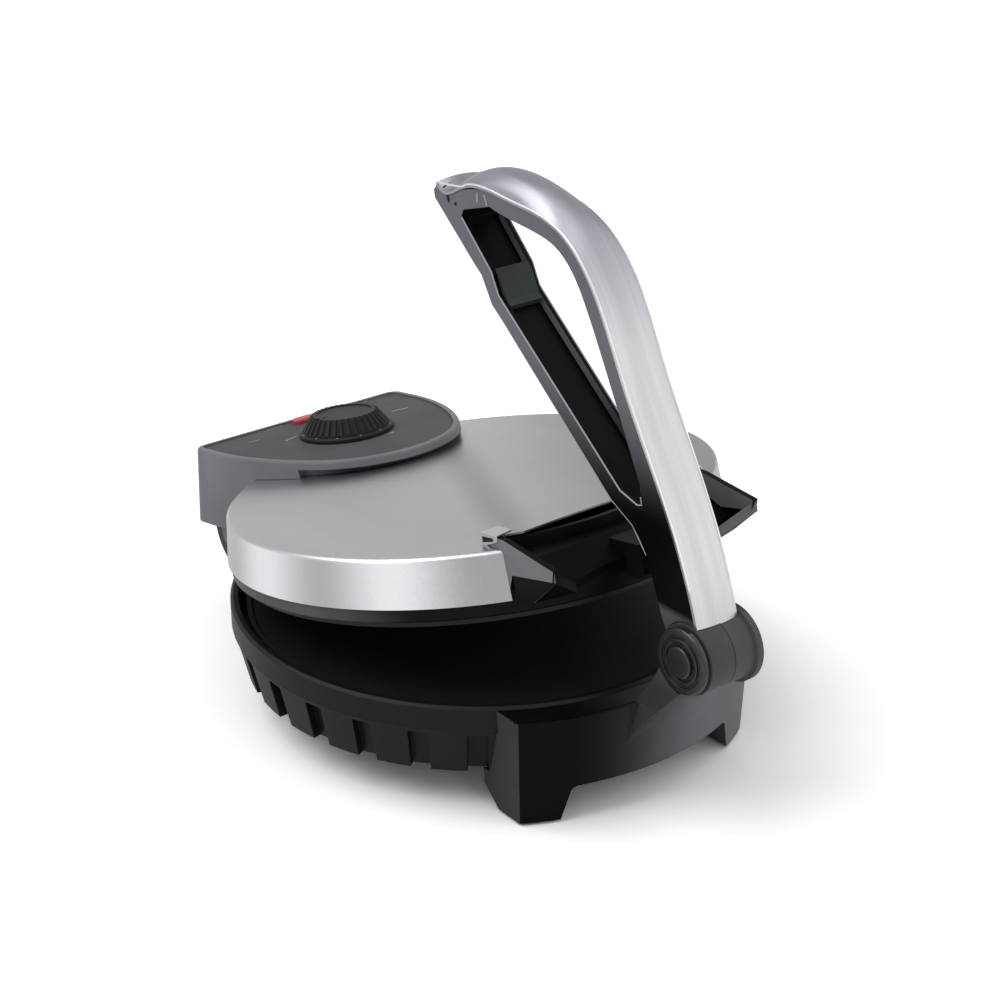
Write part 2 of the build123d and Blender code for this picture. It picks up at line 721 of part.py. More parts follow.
def element(low):
    """Bent tubular heating element with its two cold ends turned down."""
    ring = revolve(
        Plane.XZ * Pos(ELEMENT_R, low - ELEMENT_GAP - ELEMENT_TUBE_R) * Circle(ELEMENT_TUBE_R),
        Axis.Z,
        360 - ELEMENT_OPEN,
    )
    ring = Rot(0, 0, 90 + ELEMENT_OPEN / 2) * ring
    tails = []
    for side in (-1, 1):
        angle = radians(90 + side * ELEMENT_OPEN / 2)
        x = ELEMENT_R * cos(angle)
        y = ELEMENT_R * sin(angle)
        tails.append(upright(ELEMENT_TUBE_R, low - ELEMENT_GAP - ELEMENT_TAIL, low - ELEMENT_GAP, x, y))
    return ring + tails[0] + tails[1]


def reflector(low):
    """Shallow pan behind the heating element."""
    floor = low - REFLECTOR_DEPTH
    pan = ring_profile(
        (0, floor - REFLECTOR_THICK),
        (REFLECTOR_R - REFLECTOR_DEPTH, floor - REFLECTOR_THICK),
        (REFLECTOR_R, low - SEAT_GAP - REFLECTOR_THICK),
        (REFLECTOR_R + REFLECTOR_BRIM, low - SEAT_GAP - REFLECTOR_THICK),
        (REFLECTOR_R + REFLECTOR_BRIM, low - SEAT_GAP),
        (REFLECTOR_R - REFLECTOR_THICK, low - SEAT_GAP),
        (REFLECTOR_R - REFLECTOR_DEPTH - REFLECTOR_THICK, floor),
        (0, floor),
    )
    for side in (-1, 1):
        angle = radians(90 + side * ELEMENT_OPEN / 2)
        x = ELEMENT_R * cos(angle)
        y = ELEMENT_R * sin(angle)
        pan -= upright(ELEMENT_TUBE_R + REFLECTOR_HOLE, floor - REFLECTOR_DEPTH, low, x, y)
    return pan


def clamps(low):
    """Straps that press the element against the plate, each with a screw into the plate."""
    straps = []
    drop = low - 2 * ELEMENT_GAP - 2 * ELEMENT_TUBE_R
    for index in range(CLAMP_COUNT):
        bar = block(
            (ELEMENT_R - CLAMP_INNER, -CLAMP_WIDTH / 2, drop - CLAMP_THICK),
            (ELEMENT_R + CLAMP_OUTER, CLAMP_WIDTH / 2, drop),
        )
        post = upright(CLAMP_POST_R, drop - CLAMP_THICK, low, ELEMENT_R - CLAMP_POST_AT)
        straps.append(Rot(0, 0, CLAMP_TURN + index * 360 / CLAMP_COUNT) * (bar + post))
    return Compound(children=[solid for strap in straps for solid in solids_of(strap)])


# ---------------------------------------------------------------- lid, drawn closed


def dome(grow):
    """The closed lid's outside as a turned solid, grown all round by a gap."""
    crown = (0, LID_EDGE_Z + LID_DOME + grow)
    half_way = (LID_EDGE_R / 2, LID_EDGE_Z + LID_DOME_HALF + grow)
    edge = (LID_EDGE_R - LID_ROLL, LID_EDGE_Z + grow)
    turn = (LID_ROLL + grow) * sin(pi / 4)
    roll = (LID_EDGE_R - LID_ROLL + turn, LID_EDGE_Z - LID_ROLL + turn)
    side = (LID_EDGE_R + grow, LID_EDGE_Z - LID_ROLL)
    hem = (LID_R + grow, LID_SIDE_BOTTOM)
    outline = [
        Line((0, 0), crown).edge(),
        ThreePointArc(crown, half_way, edge).edge(),
        ThreePointArc(edge, roll, side).edge(),
        Line(side, hem).edge(),
        Line(hem, (LID_R + grow, 0)).edge(),
        Line((LID_R + grow, 0), (0, 0)).edge(),
    ]
    return revolve(Plane.XZ * make_face(Wire(outline)), Axis.Z)


def lid_cover():
    """Brushed cover: domed top, rolled edge and side, open at the front for the handle."""
    outside = dome(0)
    cover = outside - dome(-LID_SHEET)
    cover &= upright(2 * LID_R, LID_SIDE_BOTTOM, HOOD_TOP)
    cover -= front_recess(0)
    cover -= rear_opening()
    return cover


def front_recess(gap):
    """The space at the front of the lid that the handle tray fills."""
    front = -2 * LID_R
    top = block((-RECESS_HALF - gap, front, 0), (RECESS_HALF + gap, 0, HOOD_TOP))
    top -= upright(RECESS_BACK_R - gap, 0, HOOD_TOP + PAST)
    side = block((-SIDE_CUT_HALF, front, 0), (SIDE_CUT_HALF, -EAR_BACK, HOOD_TOP))
    return top + side


def rear_opening():
    """Hidden opening below the control housing for the thermostat and its wiring."""
    return block(
        (-REAR_OPEN_HALF, REAR_OPEN_FRONT, LID_SIDE_BOTTOM - PAST),
        (REAR_OPEN_HALF, LID_R + HOOD_WALL, HOOD_TOP),
    )


def lid_frame():
    """Black ring and deck inside the cover: carries plate, tray, housing and wiring."""
    ring = ring_profile(
        (RING_INNER_R, RING_BOTTOM),
        (RING_R - RING_EDGE, RING_BOTTOM),
        (RING_R, RING_BOTTOM + RING_EDGE),
        (RING_R, LID_SIDE_BOTTOM - SEAT_GAP),
        (LID_EDGE_R - LID_SHEET - SEAT_GAP, LID_DECK_Z),
        (0, LID_DECK_Z),
        (0, LID_DECK_Z - LID_FRAME_WALL),
        (RING_INNER_R - RING_EDGE, LID_DECK_Z - LID_FRAME_WALL),
        (RING_INNER_R, LID_DECK_Z - LID_FRAME_WALL - RING_EDGE),
    )
    ring -= block(
        (-THERMO_HALF - PAST, DIAL_Y - THERMO_HALF - PAST, 0),
        (THERMO_HALF + PAST, DIAL_Y + THERMO_BACK + PAST, HOOD_TOP),
    )
    ring += ring_profile(
        (PLATE_R - SEAT_WIDTH, UPPER_BACK + SEAT_GAP),
        (RING_INNER_R + RING_EDGE, UPPER_BACK + SEAT_GAP),
        (RING_INNER_R + RING_EDGE, UPPER_BACK + SEAT_GAP + SEAT_THICK),
        (PLATE_R - SEAT_WIDTH, UPPER_BACK + SEAT_GAP + SEAT_THICK),
    )
    for x, y in TRAY_BOLTS + HOOD_BOLTS:
        ring -= upright(SCREW_R + SCREW_CLEAR, 0, HOOD_TOP, x, y)
    ring -= scoop_room()
    wall_r = RECESS_BACK_R - COVER_GAP
    wall = ring_profile(
        (wall_r - LID_FRAME_WALL, LID_DECK_Z),
        (wall_r, LID_DECK_Z),
        (wall_r, LID_EDGE_Z - PAST),
        (wall_r - LID_FRAME_WALL, LID_EDGE_Z - PAST),
    )
    wall &= block((PAST - RECESS_HALF, -LID_R, 0), (RECESS_HALF - PAST, 0, HOOD_TOP))
    return ring + wall


def scoop_room():
    """The space that the tray's scoop takes out of the lid frame."""
    under = from_rim(SCOOP_UNDER)
    outer = -RIM_R - PAD_REACH
    outline = [*under, (outer, under[-1][1]), (outer, HOOD_TOP), (under[0][0], HOOD_TOP)]
    return side_slab(outline, -SCOOP_HALF - SEAT_GAP, SCOOP_HALF + SEAT_GAP)


def scoop():
    """The tray's sloping floor with its low front lip."""
    under = [(y, z + SEAT_GAP) for y, z in from_rim(SCOOP_UNDER)]
    over = from_rim(SCOOP_OVER)
    outer = -RIM_R - SCOOP_END
    inner = over[-1][0]
    outline = [(inner, under[0][1]), *under, (outer, under[-1][1]), (outer, over[0][1]), *over]
    floor = side_slab(outline, -SCOOP_HALF, SCOOP_HALF)
    left = [(-x, -RIM_R - y) for x, y in SCOOP_PLAN]
    right = [(x, -RIM_R - y) for x, y in reversed(SCOOP_PLAN)]
    return floor & extrude(make_face(Polyline(*left, *right, close=True)), amount=HOOD_TOP)


def handle_tray():
    """Scoop-shaped lid handle with two ears and a low front lip."""
    deck_low = LID_DECK_Z + SEAT_GAP
    deck_high = LID_DECK_Z + TRAY_EDGE
    deck_half = RECESS_HALF - COVER_GAP
    deck = block((-deck_half, BRACKET_SCREW_Y + SCREW_HEAD_R, deck_low), (deck_half, 0, deck_high))
    deck -= upright(RECESS_BACK_R + SEAT_GAP, 0, HOOD_TOP)
    ear_outer = SIDE_CUT_HALF - SEAT_GAP
    ear = side_slab(from_rim(EAR_OUTLINE), ear_outer - EAR_THICK, ear_outer)
    corners = [(x, -RIM_R - y, LID_DECK_Z + z) for x, y, z in (EAR_TIP, CORNER_FOOT, CORNER_HEEL)]
    corner = extrude(make_face(Polyline(*corners, close=True)), amount=CORNER_THICK, dir=(0, 0, -1))
    tray = scoop() + deck + both_sides(ear + corner)
    tray -= lid_room()
    for x, y in TRAY_BOLTS:
        tray -= upright(SCREW_R, 0, TRAY_SCREW_TOP, x, y)
    return tray


def lid_room():
    """Space of the lid frame's ring and deck beside the scoop."""
    room = ring_profile(
        (0, 0),
        (RING_R + SEAT_GAP, 0),
        (RING_R + SEAT_GAP, LID_SIDE_BOTTOM),
        (LID_EDGE_R - LID_SHEET + SEAT_GAP, LID_DECK_Z + SEAT_GAP),
        (0, LID_DECK_Z + SEAT_GAP),
    )
    return room - scoop_room()


def press_pad():
    """Block hooked over the tray's lip that the folded lever bears on."""
    low, high = from_rim([PRESS_LOW, PRESS_HIGH])
    pad = block((-PRESS_HALF, low[0], low[1]), (PRESS_HALF, high[0], high[1]))
    pad = chamfer(pad.edges().filter_by(Axis.X).group_by(Axis.Y)[0], PRESS_EDGE)
    return pad - side_slab(from_rim(PRESS_UNDER), -PRESS_HALF - PAST, PRESS_HALF + PAST)


def hood_outline(shrink):
    """Plan of the control housing's top: straight back, round nose."""
    half = HOOD_HALF - shrink
    nose = HOOD_NOSE_R - shrink
    back = HOOD_BACK - shrink
    side = HOOD_SIDE_R - shrink
    turn = radians(HOOD_NOSE_ANGLE)
    middle = (turn + pi / 2) / 2
    shoulder_x = nose * sin(turn)
    shoulder_y = HOOD_NOSE_Y - nose * cos(turn)
    waist_x = half - side + side * sin(middle)
    waist_y = HOOD_SIDE_Y - side * cos(middle)
    left = [(-shoulder_x, shoulder_y), (-waist_x, waist_y), (-half, HOOD_SIDE_Y)]
    right = [(half, HOOD_SIDE_Y), (waist_x, waist_y), (shoulder_x, shoulder_y)]
    edges = [
        Line(left[-1], (-half, back)).edge(),
        Line((-half, back), (half, back)).edge(),
        Line((half, back), right[0]).edge(),
        ThreePointArc(*right).edge(),
        ThreePointArc(right[-1], (0, HOOD_NOSE_Y - nose), left[0]).edge(),
        ThreePointArc(*left).edge(),
    ]
    outline = make_face(Wire(edges))
    corner = max(HOOD_CORNER_R - shrink, HOOD_CORNER_LEAST)
    return fillet(outline.vertices().group_by(Axis.Y)[-1], corner)


def hood_body(shrink, high, low):
    """The drafted D-shaped body between two heights."""
    spread = (HOOD_TOP - high) * sin(radians(HOOD_DRAFT))
    top = Pos(0, 0, high) * hood_outline(shrink - spread)
    return extrude(top, amount=low - high, taper=-HOOD_DRAFT)


def control_hood():
    """Drafted housing over the back of the lid, with the ears that hang on the hinge pins."""
    outside = hood_body(0, HOOD_TOP, HOOD_BOTTOM)
    outside = fillet(outside.edges().group_by(Axis.Z)[-1], HOOD_ROUND)
    hood = outside - hood_room()
    recess = extrude(hood_outline(PANEL_INSET), amount=PANEL_THICK + 2 * PANEL_SINK)
    hood -= Pos(0, 0, PANEL_LOW) * recess
    ledge_hole = extrude(hood_outline(PANEL_INSET + LEDGE_WIDTH), amount=2 * HOOD_WALL)
    hood -= Pos(0, 0, PANEL_LOW - HOOD_WALL - PAST) * ledge_hole
    hood -= nose_undercut()
    hood -= dome(SEAT_GAP)
    hood += both_sides(hood_ear())
    for x, y in HOOD_BOLTS:
        post = upright(HOOD_POST_R, LID_DECK_Z + SEAT_GAP, HOOD_POST_TOP, x, y)
        rib = block(
            (x - HOOD_RIB_HALF, HOOD_NOSE_Y - HOOD_NOSE_R, HOOD_POST_TOP),
            (x + HOOD_RIB_HALF, y, PANEL_LOW - PAST),
        )
        hood += post + (rib & hood_body(HOOD_UNDERCUT + PAST, HOOD_TOP, HOOD_BOTTOM))
        hood -= upright(SCREW_R, 0, HOOD_SCREW_TOP, x, y)
    width, depth, height = HOLDER_ROOM
    lamp_room = Pos(0, LAMP_Y, PANEL_LOW - height / 2) * Box(width, depth, height)
    return hood - (lamp_room & hood_body(HOOD_WALL, HOOD_TOP, HOOD_BOTTOM))


def hood_room():
    """The housing's cavity, set back behind the undercut at the nose."""
    high = PANEL_LOW - HOOD_WALL
    low = HOOD_BOTTOM - HOOD_WALL
    front = block((-HOOD_HALF, 0, 0), (HOOD_HALF, HOOD_FRONT_BACK, HOOD_TOP))
    room = hood_body(HOOD_WALL, high, low) - front
    return room + (hood_body(HOOD_WALL + HOOD_UNDERCUT, high, low) & front)


def nose_undercut():
    """The step back below the lip round the housing's nose."""
    ring = hood_outline(-HOOD_WALL) - hood_outline(HOOD_UNDERCUT)
    ring = Pos(0, 0, HOOD_BOTTOM) * extrude(ring, amount=HOOD_TOP - HOOD_LIP - HOOD_BOTTOM)
    return ring & block((-HOOD_UNDERCUT_HALF, 0, 0), (HOOD_UNDERCUT_HALF, HOOD_UNDERCUT_BACK, HOOD_TOP))


def hood_ear():
    """The right ear that hangs on a hinge pin."""
    front = HINGE_Y - HINGE_KNUCKLE_R
    back = HINGE_Y + HINGE_KNUCKLE_R
    high = HINGE_Z + EAR_ROOT
    side = [(front, high), (back, high), (back, HINGE_Z), (front, HINGE_Z)]
    ear = side_slab(side, EAR_INNER, EAR_OUTER)
    ear += cross_rod(HINGE_KNUCKLE_R, EAR_INNER, EAR_OUTER, HINGE_Y, HINGE_Z)
    ear &= hood_body(0, HOOD_TOP, HINGE_Z - 2 * HINGE_KNUCKLE_R)
    return ear - cross_rod(HINGE_PIN_R + PIN_FIT, EAR_INNER - PAST, EAR_OUTER + PAST, HINGE_Y, HINGE_Z)


def control_panel():
    """Dark inset panel with the holes for the dial shaft and the lamp."""
    panel = Pos(0, 0, PANEL_LOW) * extrude(hood_outline(PANEL_INSET + SEAT_GAP), amount=PANEL_THICK)
    panel -= upright(SHAFT_R + SHAFT_HOLE, 0, HOOD_TOP + PAST, 0, DIAL_Y)
    panel -= Pos(0, LAMP_Y, 0) * extrude(SlotOverall(LAMP_LENGTH, LAMP_WIDTH), amount=HOOD_TOP + PAST)
    return panel


def dial_knob():
    """Dial on a thin round skirt: a ribbed cone with a flat, slightly recessed top."""
    knob = ring_profile(
        (0, 0),
        (DIAL_SKIRT_R, 0),
        (DIAL_SKIRT_R, DIAL_SKIRT_THICK - PAST),
        (DIAL_SKIRT_R - PAST, DIAL_SKIRT_THICK),
        (DIAL_FOOT_R, DIAL_SKIRT_THICK),
        (DIAL_FOOT_R, DIAL_COLLAR),
        (DIAL_TOP_R, DIAL_HEIGHT - DIAL_EDGE),
        (DIAL_TOP_R - DIAL_EDGE, DIAL_HEIGHT),
        (DIAL_FACE_R, DIAL_HEIGHT),
        (DIAL_FACE_R, DIAL_HEIGHT - DIAL_FACE_SINK),
        (0, DIAL_HEIGHT - DIAL_FACE_SINK),
    )
    lean = atan2(DIAL_FOOT_R - DIAL_TOP_R, DIAL_HEIGHT - DIAL_EDGE - DIAL_COLLAR) * 180 / pi
    groove = extrude(Circle(DIAL_GROOVE_R), amount=2 * DIAL_HEIGHT)
    groove = Pos(DIAL_FOOT_R, 0, DIAL_COLLAR) * Rot(0, -lean, 0) * groove
    for index in range(DIAL_RIBS):
        knob -= Rot(0, 0, (index + 0.5) * 360 / DIAL_RIBS) * groove
    pointer = Box(POINTER_LENGTH, POINTER_WIDTH, 2 * DIAL_FACE_SINK)
    knob -= Pos(-DIAL_FACE_R, 0, DIAL_HEIGHT - DIAL_FACE_SINK) * pointer
    knob -= extrude(Circle(SHAFT_R), amount=SHAFT_SOCKET)
    return Pos(0, DIAL_Y, DIAL_LOW) * knob


def dial_shaft():
    """Thermostat shaft that turns with the knob."""
    return upright(SHAFT_R, THERMO_TOP + COVER_GAP, DIAL_LOW + SHAFT_TOP, 0, DIAL_Y)


def thermostat():
    """Thermostat body on the lid's deck, below the dial."""
    front = DIAL_Y - THERMO_HALF
    body = block((-THERMO_HALF, front, THERMO_LOW), (THERMO_HALF, DIAL_Y + THERMO_BACK, THERMO_TOP))
    foot = block(
        (-THERMO_HALF - THERMO_BACK, DIAL_Y - THERMO_EAR, LID_DECK_Z + SEAT_GAP),
        (THERMO_HALF + THERMO_BACK, DIAL_Y, LID_DECK_Z + THERMO_FOOT),
    )
    return body + foot


def lamp_lens():
    """Low oval lens of the heating lamp."""
    oval = SlotOverall(LAMP_LENGTH - LAMP_FIT, LAMP_WIDTH - LAMP_FIT)
    lens = extrude(oval, amount=HOOD_TOP - PANEL_LOW + LAMP_RISE)
    lens = fillet(lens.edges().group_by(Axis.Z)[-1], LAMP_ROUND)
    return Pos(0, LAMP_Y, PANEL_LOW) * lens


def lamp_holder():
    """Holder clipped below the panel behind the lens."""
    width, depth, height = HOLDER_SIZE
    return Pos(0, LAMP_Y, PANEL_LOW - SEAT_GAP - height / 2) * Box(width, depth, height)


def terminal_block():
    """Ceramic terminal block on the lid deck beside the thermostat."""
    body = block((*TERMINAL_LOW, LID_DECK_Z + SEAT_GAP), (*TERMINAL_HIGH, LID_DECK_Z + TERMINAL_RISE))
    middle = (TERMINAL_LOW[1] + TERMINAL_HIGH[1]) / 2
    high = LID_DECK_Z + TERMINAL_RISE
    for x in TERMINAL_HOLES:
        body -= upright(TERMINAL_HOLE_R, high - TERMINAL_HOLE_DEPTH, high + PAST, x, middle)
    return body


def thermal_fuse():
    """Thermal fuse in its sleeve on the lid deck."""
    return cross_rod(FUSE_R, FUSE_LEFT, FUSE_RIGHT, FUSE_Y, LID_DECK_Z + SEAT_GAP + FUSE_R)


# ---------------------------------------------------------------- lever

def skin_line():
    """The curve in the middle plane that the skin follows from the tip to the pivot."""
    return Spline(*[(0, y, z) for y, z in from_pivot(SKIN_PATH)])


def half_width(height):
    """Half the lever's width at a height above the floor."""
    share = (height - PIVOT_Z - HUB_R) / (LEVER_HEIGHT - HUB_R)
    return LEVER_ROOT_HALF + (LEVER_TIP_HALF - LEVER_ROOT_HALF) * min(max(share, 0), 1)


def crown_loft(low, edge, extra, start=0.0, stop=1.0):
    """Crowned strip along the skin line: flat below, arched above."""
    path = skin_line()
    sections = []
    for index, crown in enumerate(SKIN_CROWN):
        share = start + (stop - start) * index / (len(SKIN_CROWN) - 1)
        half = half_width((path @ share).Z) + extra
        plane = Plane(origin=path @ share, x_dir=(1, 0, 0), z_dir=path % share)
        outline = make_face(
            Wire(
                [
                    Line((-half, low), (half, low)).edge(),
                    Line((half, low), (half, edge)).edge(),
                    ThreePointArc((half, edge), (0, edge + crown), (-half, edge)).edge(),
                    Line((-half, edge), (-half, low)).edge(),
                ]
            )
        )
        sections.append(plane * outline)
    return loft(sections)


def lever_width(extra):
    """Front view of the lever, wider at the tip than at the pivot."""
    root = LEVER_ROOT_HALF + extra
    tip = LEVER_TIP_HALF + extra
    view = make_face(
        Polyline(
            (-root, PIVOT_Z - HUB_R),
            (-root, PIVOT_Z + HUB_R),
            (-tip, PIVOT_Z + LEVER_HEIGHT),
            (tip, PIVOT_Z + LEVER_HEIGHT),
            (root, PIVOT_Z + HUB_R),
            (root, PIVOT_Z - HUB_R),
            close=True,
        )
    )
    return Pos(0, 2 * APRON_R, 0) * extrude(Plane.XZ * view, amount=4 * APRON_R)


def lever_skin():
    """Stainless outer skin, crowned across its width."""
    skin = crown_loft(0, SKIN_EDGE, 0)
    skin -= crown_loft(-PAST, SKIN_EDGE - SKIN_SHEET, -SKIN_SHEET, SKIN_END, 1 - SKIN_END)
    skin -= cross_rod(HUB_R + SEAT_GAP, HUB_LEFT - HUB_GAP, 2 * HUB_RIGHT, PIVOT_Y, PIVOT_Z)
    return skin - cross_rod(KNUCKLE_R + HUB_GAP, -2 * HUB_RIGHT, HUB_LEFT, PIVOT_Y, PIVOT_Z)


def lever_outline():
    """Side view of the black lever frame as a closed outline."""
    heel = from_pivot(HEEL_CURVE)
    chain = [from_pivot(SKIN_PATH)[-1], (PIVOT_Y, PIVOT_Z), heel[0]]
    edges = [Spline(*from_pivot(SKIN_PATH)).edge(), Spline(*heel).edge()]
    return make_face(Wire(edges + chain_edges(chain) + chain_edges(from_pivot(RAIL_LINE))))


def chain_edges(points):
    """Straight edges from point to point."""
    return [Line(start, end).edge() for start, end in zip(points, points[1:])]


def window_outline(drop):
    """The loop's opening; dropped on the side of the lower rail for the rail's channel."""
    back = from_pivot(WINDOW_BACK)
    floor = [(y, z - drop) for y, z in from_pivot(WINDOW_FLOOR)]
    end = from_pivot([WINDOW_END])[0]
    return make_face(Wire([Spline(*back).edge()] + chain_edges([back[-1], *floor, end, back[0]])))


def yz_prism(face, half):
    """Extrudes a face drawn in (y, z) to both sides of the middle plane."""
    return extrude(Plane.YZ * face, amount=half, both=True)


def lever_frame():
    """Black loop of the lever: two rails, the kinked catch and the pivot hub."""
    frame = yz_prism(lever_outline(), LEVER_TIP_HALF + PAST)
    frame -= yz_prism(window_outline(0), LEVER_TIP_HALF + 2 * PAST)
    frame &= lever_width(-LEVER_INSET)
    frame -= yz_prism(window_outline(RAIL_FLOOR), LEVER_ROOT_HALF - RAIL_WALL)
    frame -= crown_loft(-SKIN_GAP, SKIN_EDGE, HUB_GAP + PAST)
    frame += cross_rod(HUB_R, HUB_LEFT, HUB_RIGHT, PIVOT_Y, PIVOT_Z)
    frame += cross_rod(FLANGE_R, FLANGE_LEFT, HUB_RIGHT, PIVOT_Y, PIVOT_Z)
    frame -= cross_rod(KNUCKLE_R + HUB_GAP, -2 * HUB_RIGHT, HUB_LEFT, PIVOT_Y, PIVOT_Z)
    frame -= cross_rod(PIN_R + PIN_FIT, HUB_LEFT - PAST, HUB_RIGHT + PAST, PIVOT_Y, PIVOT_Z)
    return max(solids_of(frame), key=lambda solid: solid.volume)


def lever_catch():
    """Lighter insert lying in the rail's channel at the kink, where the folded lever bears."""
    insert = make_face(Polyline(*from_pivot(CATCH_OUTLINE), close=True))
    return yz_prism(insert, LEVER_ROOT_HALF - RAIL_WALL - BRACKET_GAP)


# ---------------------------------------------------------------- nodes


def overturned(piece):
    """Turns a piece of the lower heater over for the lid."""
    return Pos(0, 0, UPPER_BACK) * mirror(piece, Plane.XY)


BASE = {
    "base_shell": base_shell(),
    "base_cover": base_cover(),
    "cover_screws": cover_screws(),
    "front_bracket": front_bracket(),
    "bracket_screws": side_screws(BRACKET_SCREW_Z, BRACKET_SCREW_Y, -SCREW_LENGTH),
    "rubber_pads": rubber_pads(),
    "pivot_pin": pivot_pin(),
    "pivot_cap": knuckle_cap(),
    "hinge_block": hinge_block(),
    "hinge_block_screws": side_screws(HINGE_SCREW_Z, HINGE_SCREW_Y, SCREW_LENGTH),
    "hinge_pins": hinge_pins(),
    "cable_gland": cable_gland(),
    "lower_plate": plate(LOWER_BACK),
    "lower_element": element(LOWER_BACK),
    "lower_clamps": clamps(LOWER_BACK),
    "lower_reflector": reflector(LOWER_BACK),
}
LID = {
    "upper_plate": overturned(plate(0)),
    "upper_element": overturned(element(0)),
    "upper_clamps": overturned(clamps(0)),
    "upper_reflector": overturned(reflector(0)),
    "tray_screws": lid_screws(TRAY_BOLTS, LID_DECK_Z - LID_FRAME_WALL, TRAY_SCREW_TOP),
    "hood_screws": lid_screws(HOOD_BOLTS, LID_DECK_Z - LID_FRAME_WALL, HOOD_SCREW_TOP),
    "lid_cover": lid_cover(),
    "lid_frame": lid_frame(),
    "handle_tray": handle_tray(),
    "press_pad": press_pad(),
    "control_hood": control_hood(),
    "control_panel": control_panel(),
    "thermostat": thermostat(),
    "lamp_lens": lamp_lens(),
    "lamp_holder": lamp_holder(),
    "terminal_block": terminal_block(),
    "thermal_fuse": thermal_fuse(),
    "dial_knob": dial_knob(),
    "dial_shaft": dial_shaft(),
}
LEVER = {
    "lever_frame": lever_frame(),
    "lever_skin": lever_skin(),
    "lever_catch": lever_catch(),
    "hub_cap": hub_cap(),
}


def opened(piece):
    """Swings a piece of the lid from the closed pose to the ajar pose it rests in."""
    return Pos(0, HINGE_Y, HINGE_Z) * Rot(-LID_AJAR, 0, 0) * Pos(0, -HINGE_Y, -HINGE_Z) * piece


NODES = {**BASE, **{name: opened(piece) for name, piece in LID.items()}, **LEVER}
EVERY_SOLID = [solid for piece in NODES.values() for solid in solids_of(piece)]
extent = Compound(children=EVERY_SOLID).bounding_box()
MIDDLE_Y = (extent.min.Y + extent.max.Y) / 2
for name, piece in NODES.items():
    export_step(Pos(0, -MIDDLE_Y, 0) * piece, f"parts/{name}.step")
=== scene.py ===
import json
from math import cos, pi, radians, sin

import bmesh
import bpy
from mathutils import Matrix, Vector


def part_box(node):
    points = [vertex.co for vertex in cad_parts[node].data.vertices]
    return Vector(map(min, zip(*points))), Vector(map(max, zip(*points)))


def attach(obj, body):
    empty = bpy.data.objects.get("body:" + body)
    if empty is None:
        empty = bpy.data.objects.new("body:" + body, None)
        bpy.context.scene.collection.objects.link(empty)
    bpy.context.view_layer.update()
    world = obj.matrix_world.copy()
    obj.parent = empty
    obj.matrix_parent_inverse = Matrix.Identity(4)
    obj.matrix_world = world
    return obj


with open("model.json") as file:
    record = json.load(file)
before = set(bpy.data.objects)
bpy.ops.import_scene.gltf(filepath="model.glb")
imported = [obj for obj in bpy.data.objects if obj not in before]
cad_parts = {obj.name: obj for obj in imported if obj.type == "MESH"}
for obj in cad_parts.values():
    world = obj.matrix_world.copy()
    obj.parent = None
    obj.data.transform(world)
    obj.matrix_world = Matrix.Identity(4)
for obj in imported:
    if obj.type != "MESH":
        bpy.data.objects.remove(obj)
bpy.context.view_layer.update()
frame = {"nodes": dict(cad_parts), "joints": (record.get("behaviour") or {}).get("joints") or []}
NODES = frame["nodes"]
SCENE = bpy.context.scene

# places taken from the frame, in metres
JOINTS = {joint["name"]: joint for joint in frame["joints"]}
HINGE = Vector(JOINTS["lid_hinge"]["pos_m"])
PIVOT = Vector(JOINTS["lever_pivot"]["pos_m"])
DIAL = Vector(JOINTS["dial_turn"]["pos_m"])
PLATE_LOW, PLATE_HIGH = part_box("lower_plate")
CENTRE = (PLATE_LOW + PLATE_HIGH) / 2
MM = 0.001

# plain level of what gloss shows
SURROUND_LEVEL = 0.64

# the lid rests ajar; its pieces are placed by where they are on the closed lid
LID_AJAR = radians(-10.6)
LID_TURN = Matrix.Rotation(LID_AJAR, 3, "X")
HINGE_DEPTH = 139.0
HINGE_HEIGHT = 58.0
LID_UP = LID_TURN @ Vector((0, 0, 1))


def lid_point(x, y, z):
    """A point on the closed lid, in millimetres from the plates' axis and the floor."""
    return HINGE + LID_TURN @ Vector((x, y - HINGE_DEPTH, z - HINGE_HEIGHT)) * MM


def lever_point(x, y, z):
    """A point on the lever, in millimetres from its pivot."""
    return PIVOT + Vector((x, y, z)) * MM


# ------------------------------------------------------------ camera

CAMERA_AZIMUTH = radians(-38.2)
CAMERA_ELEVATION = radians(24.9)
CAMERA_DISTANCE = 1.2087
CAMERA_TARGET = Vector((0.0127, CENTRE.y, 0.1063))
FOCAL_PIXELS = 2260.4
PICTURE_PIXELS = 1000
SENSOR = 36.0


def add_camera():
    back = Vector(
        (
            sin(CAMERA_AZIMUTH) * cos(CAMERA_ELEVATION),
            -cos(CAMERA_AZIMUTH) * cos(CAMERA_ELEVATION),
            sin(CAMERA_ELEVATION),
        )
    )
    data = bpy.data.cameras.new("camera")
    data.sensor_width = SENSOR
    data.lens = FOCAL_PIXELS / PICTURE_PIXELS * SENSOR
    data.clip_start = 0.01
    data.clip_end = 50
    camera = bpy.data.objects.new("camera", data)
    SCENE.collection.objects.link(camera)
    camera.location = CAMERA_TARGET + back * CAMERA_DISTANCE
    camera.rotation_mode = "QUATERNION"
    camera.rotation_quaternion = (-back).to_track_quat("-Z", "Y")
    SCENE.camera = camera


# ------------------------------------------------------------ material helpers


